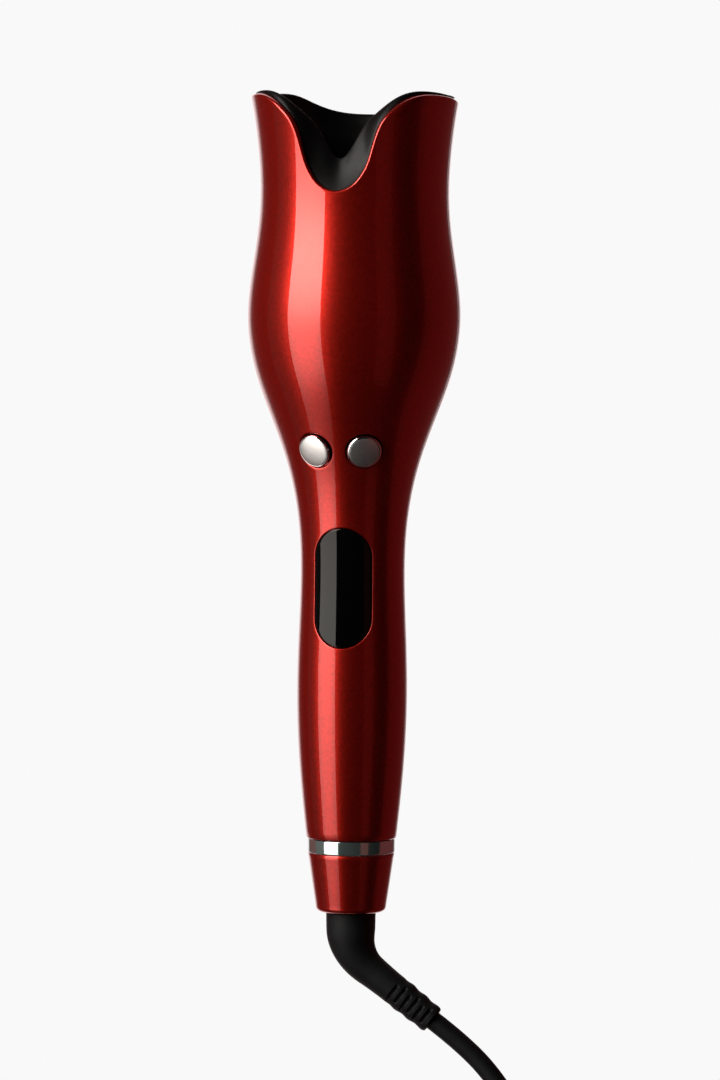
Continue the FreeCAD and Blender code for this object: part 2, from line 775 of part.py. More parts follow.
def chrome_ring():
    """Bright ring between the tail cap and the casing."""
    band = tube(12.2, RING_RADIUS, RING_LOW, RING_HIGH)
    rims = [edge for edge in band.Edges
            if abs(edge.BoundBox.XMax - RING_RADIUS) < 0.05 and len(edge.Vertexes) == 1]
    band = band.makeFillet(0.5, rims)
    spigot = tube(12.2, 13.6, RING_HIGH, 32)
    return fused([band, spigot])


def tail_cap():
    """Tapered cap with a rounded end face and a hole for the swivel's neck."""
    outer = tail_outline(0)
    face_corner = Vector(TAIL_FACE_RADIUS, 0, 0)
    shoulder = Vector(outer[0][0], 0, outer[0][1])
    bulge = Vector(TAIL_FACE_RADIUS + 1.27, 0, 0.53)
    side = Part.BSplineCurve()
    side.interpolate([Vector(radius, 0, height) for radius, height in outer])
    top = side.EndPoint
    inner = [(radius, height) for radius, height in reversed(tail_outline(TAIL_WALL))]
    inner_points = [Vector(radius, 0, height) for radius, height in inner[:-1]]
    inner_points += [Vector(inner[-1][0] - 0.4, 0, 2.4), Vector(NECK_RADIUS + 1.2, 0, 2.4),
                     Vector(NECK_RADIUS + 1.2, 0, 0), face_corner]
    edges = [Part.Arc(face_corner, bulge, shoulder).toShape(), side.toShape()]
    last = top
    for point in inner_points:
        edges.append(Part.LineSegment(last, point).toShape())
        last = point
    return spun(edges)


def swivel_socket():
    """Bearing sleeve for the cord boot's neck."""
    return tube(NECK_RADIUS + 0.05, SOCKET_RADIUS, 2.4, SOCKET_HIGH)


def swivel_clip():
    """Clip that keeps the neck in its socket."""
    ring = tube(NECK_RADIUS - 1 + SLIP_GAP, NECK_RADIUS + 2, SOCKET_HIGH + 0.4, SOCKET_HIGH + 1.4)
    return ring.cut(block((-1, 1), (NECK_RADIUS - 1.5, 12), (SOCKET_HIGH, SOCKET_HIGH + 2)))


def swivel_rings():
    """Two contact rings on the neck."""
    inner = NECK_RADIUS - 1 + SLIP_GAP
    return Part.makeCompound([tube(inner, NECK_RADIUS, low, low + 2) for low in (15.4, 18.4)])


def brush_contacts():
    """Two brushes that touch the rings."""
    reach = NECK_RADIUS + 0.08
    brushes = []
    for low, side in ((15.6, -1), (18.6, 1)):
        brush = block((-1.2, 1.2), (reach - 1, 8.9), (low, low + 1.6))
        brush = brush.cut(rod(reach, low - 1, low + 3))
        brushes.append(brush if side > 0 else brush.mirror(AXIS_FOOT, Vector(0, 1, 0)))
    return Part.makeCompound(brushes)


def brush_holder():
    """Insulating ring that carries the brushes."""
    ring = tube(9.0, 11.4, 14.6, 21.2)
    return ring.cut(block((-12, -3), (-3, 3), (14, 22)))


def boot_stations():
    """Circles that the elbow passes through: centre, turn from straight down, and radius."""
    turn = math.radians(BOOT_TURN)
    start = BOOT_CORNER + BOOT_BEND * math.tan(turn / 2)
    stations = [(Vector(0, 0, BOOT_SHOULDER), 0, BOOT_ROOT_RADIUS),
                (Vector(0, 0, -3), 0, BOOT_ROOT_RADIUS - 0.1)]
    bend_radii = (8.75, 8.6, 8.3, 7.9, 7.5, 7.05, 6.6, 6.2, 5.9)
    for step, radius in enumerate(bend_radii):
        angle = turn * step / (len(bend_radii) - 1)
        centre = Vector(BOOT_BEND * (1 - math.cos(angle)), 0, start - BOOT_BEND * math.sin(angle))
        stations.append((centre, math.degrees(angle), radius))
    corner = Vector(0, 0, BOOT_CORNER)
    for distance, radius in ((BOOT_LENGTH - 18, 5.45), (BOOT_LENGTH - 9, 5.15), (BOOT_LENGTH, 4.8)):
        stations.append((corner + boot_direction() * distance, BOOT_TURN, radius))
    return stations


def boot_direction():
    """Direction of the elbow's free end."""
    turn = math.radians(BOOT_TURN)
    return Vector(math.sin(turn), 0, -math.cos(turn))


def boot_circle(station):
    """One of the elbow's circles, with its seam always on the same side."""
    centre, turn, radius = station
    circle = Part.Wire(Part.makeCircle(radius))
    circle.Placement = Placement(centre, Rotation(Vector(0, 1, 0), -turn))
    return circle


def cord_boot():
    """Rubber elbow with relief grooves, and the neck that turns in the tail."""
    stations = boot_stations()
    elbow = Part.makeLoft([boot_circle(station) for station in stations], True, True)
    end = stations[-1][0]
    out = boot_direction()
    for number in range(5):
        place = end - out * (3.5 + 3.4 * number)
        groove = rod_along(place, out, 8, 1.1).cut(rod_along(place, out, 4.2, 1.1))
        elbow = elbow.cut(groove)
    neck = fused([rod(NECK_RADIUS, BOOT_SHOULDER - 1, SOCKET_HIGH + 0.3),
                  rod(NECK_RADIUS - 1, SOCKET_HIGH, 21)])
    return fused([elbow, neck])


# --- laying the tool down ---

def rest_angle():
    """Tilt of the axis at which the bulb and the tail end both touch the table."""
    curve = casing_curve(0)
    first = curve.FirstParameter
    span = curve.LastParameter - first
    samples = [curve.value(first + span * step / 800) for step in range(801)]
    tail = [(point.x, point.z) for point in samples if point.z < 60] + TAIL_PROFILE
    bulb = [(point.x, point.z) for point in samples if 190 < point.z < 240]

    def lowest(points, angle):
        return min(height * math.sin(angle) - radius * math.cos(angle) for radius, height in points)

    low = 0.0
    high = math.radians(20)
    for _ in range(60):
        middle = (low + high) / 2
        if lowest(bulb, middle) < lowest(tail, middle):
            low = middle
        else:
            high = middle
    return math.degrees(low)


def rest_placement(shapes):
    """Placement that lays the tool down, with its box's bottom centre at the origin."""
    turned = Placement(Vector(0, 0, 0), Rotation(Vector(1, 0, 0), rest_angle() - 90))
    boxes = []
    for shape in shapes:
        box = shape.transformed(turned.toMatrix(), True).optimalBoundingBox(False)
        boxes.append(box)
    centre_x = (min(box.XMin for box in boxes) + max(box.XMax for box in boxes)) / 2
    centre_y = (min(box.YMin for box in boxes) + max(box.YMax for box in boxes)) / 2
    bottom = min(box.ZMin for box in boxes)
    return Placement(Vector(-centre_x, -centre_y, -bottom), turned.Rotation)


# --- cord, coil and plug ---

def vectors(points):
    return [Vector(*point) for point in points]


def power_cord():
    """The stretch of cord from the boot to the coil."""
    return routed_tube(vectors(LEAD_IN), CORD_RADIUS)


def cord_end():
    """The stretch of cord from the coil to the plug."""
    return routed_tube(vectors(LEAD_OUT), CORD_RADIUS)


def cord_coil():
    """Outer shape of the coil: two layers of three turns."""
    ring = tube(COIL_RADII[0] - CORD_RADIUS, COIL_RADII[-1] + CORD_RADIUS, 0, COIL_HEIGHT)
    ring.translate(Vector(COIL_CENTRE[0], COIL_CENTRE[1], 0))
    return ring


def plug_directions():
    """Plug's start, its direction, the direction across its blades and the one up."""
    points = vectors(LEAD_OUT)
    start = points[-1]
    out = Vector(start.x - points[-2].x, start.y - points[-2].y, 0)
    out.normalize()
    side = Vector(-out.y, out.x, 0)
    return start, out, side


def plug_section(distance, half_width, half_height, power):
    """Rounded section of the plug at a distance from its start."""
    start, out, side = plug_directions()
    centre = start + out * distance
    points = []
    for step in range(16):
        angle = 2 * math.pi * step / 16
        across_part = math.copysign(abs(math.cos(angle)) ** power, math.cos(angle))
        up_part = math.copysign(abs(math.sin(angle)) ** power, math.sin(angle))
        points.append(centre + side * (half_width * across_part) + UP * (half_height * up_part))
    curve = Part.BSplineCurve()
    curve.interpolate(Points=points, PeriodicFlag=True)
    return Part.Wire(curve.toShape())


def plug_boot():
    """Tapered strain relief of the plug."""
    sections = [plug_section(0, 4.4, 4.4, 1), plug_section(10, 4.9, 4.9, 1),
                plug_section(PLUG_BOOT_LENGTH, 5.8, 5.6, 1)]
    return Part.makeLoft(sections, True, False)


def plug_body():
    """Moulded grip of the plug."""
    start = PLUG_BOOT_LENGTH
    length = PLUG_BODY_LENGTH
    sections = [plug_section(start, 6.6, 6.2, 0.9), plug_section(start + 0.3 * length, 9.2, 7.6, 0.7),
                plug_section(start + 0.7 * length, 11.4, 8.4, 0.6),
                plug_section(start + length, PLUG_HALF_WIDTH, PLUG_HALF_HEIGHT, 0.55)]
    return Part.makeLoft(sections, True, False)


def plug_blades():
    """Two flat blades."""
    start, out, side = plug_directions()
    base = start + out * (PLUG_BOOT_LENGTH + PLUG_BODY_LENGTH)
    blades = []
    for sign in (-1, 1):
        corner = base + side * (sign * BLADE_SPACING / 2 - BLADE_THICKNESS / 2) - UP * (BLADE_WIDTH / 2)
        corners = [corner, corner + side * BLADE_THICKNESS,
                   corner + side * BLADE_THICKNESS + UP * BLADE_WIDTH, corner + UP * BLADE_WIDTH]
        face = Part.Face(Part.makePolygon(corners + corners[:1]))
        blades.append(face.extrude(out * BLADE_LENGTH))
    return Part.makeCompound(blades)


def cord_tie():
    """Strap around the coil's turns."""
    inner = COIL_RADII[0] - CORD_RADIUS
    outer = COIL_RADII[-1] + CORD_RADIUS
    middle = (inner + outer) / 2
    half = (outer - inner) / 2
    strap = block((-half - 1.2, half + 1.2), (-5, 5), (0, COIL_HEIGHT + 1.2))
    strap = strap.cut(block((-half - 0.05, half + 0.05), (-6, 6), (-1, COIL_HEIGHT + 0.05)))
    strap.rotate(Vector(0, 0, 0), UP, TIE_AZIMUTH)
    angle = math.radians(TIE_AZIMUTH)
    strap.translate(Vector(COIL_CENTRE[0] + middle * math.cos(angle),
                           COIL_CENTRE[1] + middle * math.sin(angle), 0))
    return strap


OBJECT_PIECES = [
    front_shell, rear_shell, shell_screws, mouth_liner, chamber_sleeve, heated_barrel, barrel_cap,
    heater_element, heater_clamps, temperature_sensor, thermal_fuse, centre_post, gearbox_plate,
    deck_plate, gearbox_pillars, gearbox_screws, rotor_gear, idler_gear, motor_pinion, idler_axle,
    winding_rotor, rotor_bush, motor_gearhead, motor, motor_shaft, motor_screws, main_board,
    board_screws, transformer, capacitor, power_relay, heater_switch, controller_chip, display_lens,
    display_gasket, display_module, display_board, button_boards, tact_switches, left_button,
    right_button, heater_leads, motor_leads, mains_leads, chrome_ring, tail_cap, swivel_socket,
    swivel_clip, swivel_rings, brush_contacts, brush_holder, cord_boot]
CORD_PIECES = [power_cord, cord_coil, cord_end, cord_tie, plug_boot, plug_body, plug_blades]


def report_cord(points, solid, name):
    """Print a cord run's arc radii and compare its volume with section times length."""
    path, radii = routed_path(vectors(points))
    expected = math.pi * CORD_RADIUS ** 2 * path.Length
    print(name, "radii", [round(radius, 1) for radius in radii])
    print(name, "length", round(path.Length, 1), "volume ratio", round(solid.Volume / expected, 4))


def main():
    os.makedirs("parts", exist_ok=True)
    pieces = {build.__name__: build() for build in OBJECT_PIECES}
    placement = rest_placement(list(pieces.values()))
    for name, shape in pieces.items():
        pieces[name] = shape.transformed(placement.toMatrix(), True)
    for build in CORD_PIECES:
        pieces[build.__name__] = build()
    for name, shape in pieces.items():
        if not shape.isValid() or shape.Volume <= 0:
            print("CHECK", name, shape.isValid(), shape.Volume)
        shape.exportStep("parts/" + name + ".step")
    print("rest angle", round(rest_angle(), 3), "placement", placement)
    mouth = boot_stations()[-1][0]
    print("boot mouth", placement.multVec(mouth))
    print("boot direction", placement.Rotation.multVec(boot_direction()))
    report_cord(LEAD_IN, pieces["power_cord"], "power_cord")
    report_cord(LEAD_OUT, pieces["cord_end"], "cord_end")


main()
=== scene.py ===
import bmesh
import bpy
import json
import math
import numpy as np
from mathutils import Matrix, Vector


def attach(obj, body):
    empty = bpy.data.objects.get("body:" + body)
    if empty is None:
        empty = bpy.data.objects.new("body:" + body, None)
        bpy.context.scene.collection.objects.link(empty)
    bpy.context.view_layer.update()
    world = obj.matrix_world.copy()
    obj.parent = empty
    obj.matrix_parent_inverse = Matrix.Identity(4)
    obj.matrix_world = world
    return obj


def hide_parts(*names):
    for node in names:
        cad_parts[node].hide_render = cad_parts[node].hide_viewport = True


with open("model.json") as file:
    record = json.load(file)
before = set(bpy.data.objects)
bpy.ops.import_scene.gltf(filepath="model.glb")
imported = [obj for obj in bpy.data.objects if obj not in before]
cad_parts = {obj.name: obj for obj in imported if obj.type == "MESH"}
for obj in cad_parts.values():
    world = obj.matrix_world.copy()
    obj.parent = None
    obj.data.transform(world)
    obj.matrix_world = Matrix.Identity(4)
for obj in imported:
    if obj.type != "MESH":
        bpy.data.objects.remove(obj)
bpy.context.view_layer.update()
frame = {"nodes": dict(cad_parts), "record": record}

# The tool lies on its back. Shapes are worked out in its own upright frame, in millimetres:
# height 0 is the tail's end face, the mouth is up, the front faces -Y and the right is +X.
# The swivel joint of the cord gives that frame's origin and its axis.
MM = 0.001
JOINTS = {joint["name"]: joint for joint in frame["record"]["behaviour"]["joints"]}
ORIGIN = Vector(JOINTS["cord_swivel_turn"]["pos_m"])
AXIS = -Vector(JOINTS["cord_swivel_turn"]["axis"])
RIGHT = Vector((1, 0, 0))
REAR = AXIS.cross(RIGHT)
UPRIGHT = np.array([RIGHT, REAR, AXIS])

# --- sizes ---
CASING_PROFILE = [(16.15, 26.6), (17.6, 40), (18.95, 56), (19.75, 79), (19.35, 98), (18.65, 121),
                  (19.3, 138), (21.0, 150), (24.6, 164), (31.05, 181.5), (35.25, 194), (37.3, 204),
                  (38.0, 213.5), (37.3, 224), (35.3, 238), (34.0, 249), (33.65, 259), (34.2, 270),
                  (35.7, 283), (37.9, 296)]
CASING_LOW = 26.6
RIM_START = 240.0
RIM_ROUND = 0.8
RIM_RADIUS = 36.0
WALL = 2.3
SEAM_GAP = 0.05
SEAM_RADIUS = 30.0
SEAM_ROUND = 0.22
RIM_EDGE = [(0, 258.9), (6, 259.7), (11, 261.5), (15, 264.2), (18.3, 267.6), (21, 272.4), (24, 278.6),
            (28, 283.7), (34, 287.4), (42, 290.6), (52, 292.3), (64, 292.4), (80, 291.5),
            (97, 290.1), (115, 289.3), (130, 288.2), (144, 285.3), (158, 283.1), (180, 282.4)]
CREST = [(0, 26.3, 270), (4, 26.3, 270.9), (8, 26.4, 273.2), (12.4, 26.6, 276.6),
         (16.5, 26.8, 279.9), (20.3, 27.4, 282.6), (25, 28.6, 285.2), (31, 30.6, 288.3),
         (38, 32.5, 291.4), (46, 33.6, 293.3), (56, 34.1, 293.8), (66, 34.7, 293.4), (80, 35.7, 292.2),
         (97, 35.6, 291.4), (112, 34.2, 292.2), (128, 32.8, 291.6), (141, 32.2, 288.8),
         (152, 31.6, 286.6), (165, 31.2, 285.3), (180, 31.1, 285.0)]
BORE_RADIUS = 26.05
BORE_TOP = 277.0
BORE_LOW = 250.4
TAIL_PROFILE = [(12.65, 1.85), (13.9, 10.2), (15.5, 21.2)]
TAIL_ROUND = 1.85
RING = (12.2, 15.72, 21.45, 26.4)
LENS_CENTRE = 117.4
LENS_FRONT = -18.7
LENS_HALF_WIDTH = 10.25
LENS_HALF_STRAIGHT = 11.05
LENS_ROUND = 0.45
LENS_DEPTH = 1.9
HOLE_GAP = 0.12
HOLE_ROUND = 0.5
HOLE_COLLAR = 1.1
OUTLINE_LIFT = 12.0
OUTLINE_REACH = 34.0
BUTTON_AZIMUTH = 20.6
BUTTON_HEIGHT = 166.5
BUTTON_SURFACE = 25.45
BUTTON_TILT = 20
BUTTON_RADIUS = 6.15
BUTTON_HOLE = 6.5
BUTTON_FACE = 5.4
FLANGE_FLAT = 5.7
BOOT_TOP = -0.4
BOOT_TURN = math.radians(52.8)
BOOT_BEND = 18.0
BOOT_CORNER = -15.6
BOOT_LENGTH = 37.9
BOOT_RADII = [(0, 8.9), (3, 8.85), (8, 8.65), (13, 7.85), (18, 6.85), (23, 6.05), (28, 5.7),
              (34, 5.45), (43, 5.15), (52, 4.8)]

# --- cord: the route's points in metres, from the boot's mouth to the coil and to the plug ---
CORD_DIAMETER = 0.007
LEAD_IN = [(0.03019, -0.16348, 0.00846), (0.0395, -0.17035, 0.0068), (0.0509, -0.1811, 0.0053),
           (0.0613, -0.1960, 0.0042), (0.0682, -0.2127, 0.0036), (0.0718, -0.2302, 0.0035)]
LEAD_OUT = [(0.0722, -0.2633, 0.0104), (0.0708, -0.2793, 0.0099), (0.0683, -0.2953, 0.0092),
            (0.0648, -0.3103, 0.0088), (0.0606, -0.3243, 0.0086)]
COIL_CENTRE = (0.024, -0.2478)
COIL_RADII = (0.034, 0.0412, 0.0484)
COIL_LAYERS = (0.0035, 0.0105)
POINTS_PER_TURN = 14


# --- small tools ---

def natural_spline(knots, values, at):
    """Natural cubic spline through the values at the knots."""
    knots = np.asarray(knots, float)
    values = np.asarray(values, float)
    gaps = np.diff(knots)
    count = len(knots)
    system = np.eye(count)
    right = np.zeros(values.shape)
    for i in range(1, count - 1):
        system[i, i - 1:i + 2] = gaps[i - 1], 2 * (gaps[i - 1] + gaps[i]), gaps[i]
        right[i] = 6 * ((values[i + 1] - values[i]) / gaps[i] - (values[i] - values[i - 1]) / gaps[i - 1])
    bend = np.linalg.solve(system, right)
    i = np.clip(np.searchsorted(knots, at) - 1, 0, count - 2)
    gap = gaps[i]
    a = (knots[i + 1] - at) / gap
    b = (at - knots[i]) / gap
    if values.ndim > 1:
        a, b, gap = a[:, None], b[:, None], gap[:, None]
    curve = (a ** 3 - a) * bend[i] + (b ** 3 - b) * bend[i + 1]
    return a * values[i] + b * values[i + 1] + curve * gap ** 2 / 6


def chord_spline(points, count):
    """Smooth curve through points, with its knots spaced by distance."""
    points = np.asarray(points, float)
    steps = np.linalg.norm(np.diff(points, axis=0), axis=1)
    knots = np.concatenate([[0], np.cumsum(steps)])
    return natural_spline(knots, points, np.linspace(0, knots[-1], count))


def evenly_along(points, spacing):
    """Points at an even spacing along a polyline."""
    steps = np.linalg.norm(np.diff(points, axis=0), axis=1)
    along = np.concatenate([[0], np.cumsum(steps)])
    count = max(2, int(round(along[-1] / spacing)) + 1)
    at = np.linspace(0, along[-1], count)
    return np.stack([np.interp(at, along, points[:, k]) for k in range(points.shape[1])], axis=1)


def soft_rows(rows, count):
    """Clamped cubic B-spline down a stack of control rows."""
    rows = np.asarray(rows, float)
    rows = np.concatenate([rows[:1], rows[:1], rows, rows[-1:], rows[-1:]])
    spans = len(rows) - 3
    result = []
    for at in np.linspace(0, spans - 1e-9, count):
        i = int(at)
        t = at - i
        weights = ((1 - t) ** 3 / 6, (3 * t ** 3 - 6 * t ** 2 + 4) / 6,
                   (-3 * t ** 3 + 3 * t ** 2 + 3 * t + 1) / 6, t ** 3 / 6)
        result.append(sum(weight * row for weight, row in zip(weights, rows[i:i + 4])))
    return np.array(result)


def to_world(points):
    """Upright millimetres to the frame's metres."""
    return np.asarray(points) @ UPRIGHT * MM + np.array(ORIGIN)


def strip_faces(shape, closed, start):
    """Quads of a grid of rows by columns, whose first point has the index start."""
    rows, columns = shape
    last = columns if closed else columns - 1
    faces = []
    for row in range(rows - 1):
        for column in range(last):
            following = (column + 1) % columns
            low = start + row * columns
            high = low + columns
            faces.append((low + column, low + following, high + following, high + column))
    return faces


class Builder:
    """Collects points and faces of one piece, in upright millimetres."""

    def __init__(self):
        self.points = []
        self.faces = []

    def rings(self, rings, closed=True):
        """Adds a stack of rings: an array of rows by columns by 3."""
        rings = np.asarray(rings, float)
        start = sum(len(block) for block in self.points)
        self.points.append(rings.reshape(-1, 3))
        self.faces += strip_faces(rings.shape[:2], closed, start)

    def piece(self, name, body, material, slot, replaces=(), world=False):
        """Makes the object, merges doubled points and sets what it rides on."""
        points = np.concatenate(self.points)
        mesh = bpy.data.meshes.new(name)
        mesh.from_pydata((points if world else to_world(points)).tolist(), [], self.faces)
        whole = bmesh.new()
        whole.from_mesh(mesh)
        bmesh.ops.remove_doubles(whole, verts=whole.verts, dist=2e-6)
        bmesh.ops.dissolve_degenerate(whole, edges=whole.edges, dist=1e-7)
        bmesh.ops.recalc_face_normals(whole, faces=whole.faces)
        for face in whole.faces:
            face.smooth = True
        whole.to_mesh(mesh)
        whole.free()
        piece = bpy.data.objects.new(name, mesh)
        bpy.context.scene.collection.objects.link(piece)
        mesh.materials.append(material)
        finish_piece(piece, body, replaces)
        return piece


def finish_piece(piece, body, replaces):
    """Ties a piece to its body and hides the nodes it stands for."""
    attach(piece, body)
    if replaces:
        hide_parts(*replaces)


def rounded_profile(points, steps=5):
    """Outline of (radius, height, rounding) points with its corners rounded."""
    result = []
    for index, (radius, height, rounding) in enumerate(points):
        corner = np.array([radius, height], float)
        if rounding <= 0 or index in (0, len(points) - 1):
            result.append(corner)
            continue
        before = np.array(points[index - 1][:2]) - corner
        after = np.array(points[index + 1][:2]) - corner
        start = corner + before / np.linalg.norm(before) * rounding
        end = corner + after / np.linalg.norm(after) * rounding
        for t in np.linspace(0, 1, steps):
            result.append((1 - t) ** 2 * start + 2 * t * (1 - t) * corner + t ** 2 * end)
    return result


def lathe(profile, segments=128):
    """Rings of a solid of revolution about the upright axis."""
    turn = np.linspace(0, 2 * math.pi, segments, endpoint=False)
    return [np.stack([radius * np.cos(turn), radius * np.sin(turn), np.full(segments, height)], axis=1)
            for radius, height in profile]


def turned_rings(rings, origin, outward):
    """Lathe rings moved so that their axis points outward from an origin."""
    outward = np.asarray(outward)
    across = np.cross(outward, (0, 0, 1))
    across /= np.linalg.norm(across)
    along = np.cross(outward, across)
    basis = np.array([across, along, outward])
    return [ring @ basis + origin for ring in rings]


# --- materials ---

def material(name, **values):
    """Principled material; each value goes to the socket of that name."""
    made = bpy.data.materials.new(name)
    made.use_nodes = True
    shader = made.node_tree.nodes["Principled BSDF"]
    for key, value in values.items():
        shader.inputs[key.replace("_", " ").title().replace("Ior", "IOR")].default_value = value
    return made


def node(made, kind, **settings):
    """Adds a node and sets its properties or its inputs."""
    added = made.node_tree.nodes.new(kind)
    for key, value in settings.items():
        if key in added.inputs:
            added.inputs[key].default_value = value
        else:
            setattr(added, key, value)
    return added


def coordinates(made):
    """Object coordinates, in metres."""
    return node(made, "ShaderNodeTexCoord").outputs["Object"]


def noise(made, scale, detail=3.0):
    """Noise of a scale given in features per metre."""
    added = node(made, "ShaderNodeTexNoise", Scale=scale, Detail=detail)
    made.node_tree.links.new(coordinates(made), added.inputs["Vector"])
    return added.outputs["Fac"]


def cells(made, scale, output="Distance"):
    """Voronoi cells of a scale given in cells per metre."""
    added = node(made, "ShaderNodeTexVoronoi", Scale=scale)
    made.node_tree.links.new(coordinates(made), added.inputs["Vector"])
    return added.outputs[output]


def shader_input(made, name):
    """Socket of the material's Principled shader."""
    return made.node_tree.nodes["Principled BSDF"].inputs[name]


def blend_colours(made, factor, low, high):
    """Base colour between two colours by a texture."""
    ramp = node(made, "ShaderNodeValToRGB")
    ramp.color_ramp.elements[0].color = (*low, 1)
    ramp.color_ramp.elements[0].position = 0.35
    ramp.color_ramp.elements[1].color = (*high, 1)
    ramp.color_ramp.elements[1].position = 0.65
    made.node_tree.links.new(factor, ramp.inputs["Fac"])
    made.node_tree.links.new(ramp.outputs["Color"], shader_input(made, "Base Color"))


def vary_roughness(made, factor, low, high):
    """Roughness between two values by a texture."""
    span = node(made, "ShaderNodeMapRange")
    span.inputs["To Min"].default_value = low
    span.inputs["To Max"].default_value = high
    made.node_tree.links.new(factor, span.inputs["Value"])
    made.node_tree.links.new(span.outputs["Result"], shader_input(made, "Roughness"))


def bump(made, height, distance, strength=1.0):
    """Relief of a depth in metres."""
    added = node(made, "ShaderNodeBump", Distance=distance, Strength=strength)
    made.node_tree.links.new(height, added.inputs["Height"])
    made.node_tree.links.new(added.outputs["Normal"], shader_input(made, "Normal"))


def red_lacquer():
    """Deep red metallic base with fine flakes under a clear coat."""
    made = material("red_lacquer", metallic=0.85, roughness=0.31, coat_weight=1.0,
                    coat_roughness=0.025, coat_ior=1.45)
    blend_colours(made, noise(made, 900, 4), (0.33, 0.0085, 0.0034), (0.43, 0.0110, 0.0044))
    bump(made, cells(made, 5200), 0.00003, 0.35)
    return made


def moulded(name, colour, roughness, ior=1.5, grain=2600, depth=0.00002):
    """Moulded plastic with a fine spark-eroded grain."""
    made = material(name, ior=ior)
    lighter = tuple(min(1.0, channel * 1.25 + 0.0004) for channel in colour)
    blend_colours(made, noise(made, 140, 5), colour, lighter)
    vary_roughness(made, noise(made, 420), roughness - 0.05, roughness + 0.06)
    bump(made, noise(made, grain, 6), depth, 0.6)
    return made


def gloss_black():
    """Smoked, polished window."""
    made = material("gloss_black", ior=1.37)
    blend_colours(made, noise(made, 60), (0.0008, 0.0008, 0.0009), (0.0012, 0.0012, 0.0013))
    vary_roughness(made, noise(made, 700), 0.035, 0.06)
    return made


def metal(name, colour, roughness, brushed=0.0, metallic=1.0):
    """Metal with slight variation, and fine marks if it is brushed."""
    made = material(name, metallic=metallic)
    darker = tuple(channel * 0.93 for channel in colour)
    blend_colours(made, noise(made, 300, 5), darker, colour)
    vary_roughness(made, noise(made, 1500, 4), roughness * 0.85, roughness * 1.15)
    if brushed:
        bump(made, noise(made, 9000, 2), brushed, 0.5)
    return made


def rubber(name, colour, roughness):
    """Matt rubber with a fine skin and faint lighter dust."""
    made = material(name, ior=1.33)
    lighter = tuple(channel * 1.7 + 0.0006 for channel in colour)
    blend_colours(made, noise(made, 260, 6), colour, lighter)
    vary_roughness(made, noise(made, 800), roughness - 0.06, roughness + 0.06)
    bump(made, noise(made, 4200, 5), 0.00003, 0.6)
    return made


def woven(name, colour):
    """Hook-and-loop strap."""
    made = material(name, sheen_weight=0.4, sheen_roughness=0.5)
    lighter = tuple(channel * 1.8 + 0.004 for channel in colour)
    blend_colours(made, cells(made, 2200), colour, lighter)
    vary_roughness(made, noise(made, 900), 0.75, 0.95)
    bump(made, cells(made, 2200), 0.0002, 0.8)
    return made


LACQUER = red_lacquer()
MATERIALS = {
    "casing_red": LACQUER,
    "liner_black": moulded("liner_black", (0.0012, 0.0012, 0.0014), 0.42, ior=1.28),
    "barrel_coating": moulded("barrel_coating", (0.03, 0.03, 0.033), 0.3),
    "ceramic": moulded("ceramic", (0.75, 0.73, 0.68), 0.6),
    "aluminium": metal("aluminium", (0.78, 0.78, 0.8), 0.32, 0.00002),
    "steel": metal("steel", (0.6, 0.6, 0.62), 0.3, 0.00002),
    "deck_plastic": moulded("deck_plastic", (0.02, 0.02, 0.022), 0.5),
    "gear_plastic": moulded("gear_plastic", (0.72, 0.7, 0.62), 0.45),
    "brass": metal("brass", (0.72, 0.55, 0.28), 0.28, 0.00002),
    "circuit_board": moulded("circuit_board", (0.01, 0.14, 0.05), 0.4),
    "display_glass": moulded("display_glass", (0.02, 0.03, 0.035), 0.15),
    "lens_black": gloss_black(),
    "silver_caps": metal("silver_caps", (0.87, 0.93, 0.93), 0.36, 0.00001),
    "lead_insulation": rubber("lead_insulation", (0.25, 0.03, 0.03), 0.5),
    "chrome": metal("chrome", (0.6, 0.8, 0.79), 0.10, metallic=0.94),
    "boot_rubber": rubber("boot_rubber", (0.001, 0.0017, 0.0027), 0.62),
    "cord_jacket": rubber("cord_jacket", (0.001, 0.0017, 0.0027), 0.6),
    "tie_strap": woven("tie_strap", (0.02, 0.02, 0.022)),
}
BRIGHT_RIM = metal("bright_rim", (0.9, 0.9, 0.91), 0.08)


# --- casing surface ---

PROFILE_LINE = chord_spline([(height, radius) for radius, height in CASING_PROFILE], 1200)
PROFILE_HEIGHTS = PROFILE_LINE[:, 0]
PROFILE_SLOPES = np.gradient(PROFILE_LINE[:, 1], PROFILE_HEIGHTS)


def casing_radius(height):
    """Radius of the casing at a height."""
    return np.interp(height, PROFILE_HEIGHTS, PROFILE_LINE[:, 1])


def casing_normal(azimuth, height):
    """Outward normal at an azimuth in degrees."""
    slope = np.interp(height, PROFILE_HEIGHTS, PROFILE_SLOPES)
    flat = 1 / np.sqrt(1 + slope ** 2)
    angle = np.radians(azimuth)
    return np.stack([flat * np.sin(angle), -flat * np.cos(angle), -slope * flat], axis=-1)


def casing_point(azimuth, height, inset=0.0):
    """Point on the casing, or at a depth under it."""
    angle = np.radians(azimuth)
    radius = casing_radius(height)
    point = np.stack([radius * np.sin(angle), -radius * np.cos(angle),
                      height + np.zeros_like(angle)], axis=-1)
    return point - casing_normal(azimuth, height) * np.asarray(inset)[..., None]


def mirrored(table):
    """A table of right-hand azimuths, completed to the left and a little past the back."""
    right = np.array(table, float)
    past = right[-4:-1][::-1].copy()
    past[:, 0] = 360 - past[:, 0]
    whole = np.concatenate([right, past])
    left = whole[1:][::-1].copy()
    left[:, 0] *= -1
    return np.concatenate([left, whole])


def round_curve(table):
    """Smooth curve round the casing: azimuth, then the table's other values."""
    points = mirrored(table)
    points[:, 0] = np.radians(points[:, 0]) * RIM_RADIUS
    line = chord_spline(points, 4000)
    line[:, 0] = np.degrees(line[:, 0] / RIM_RADIUS)
    return line


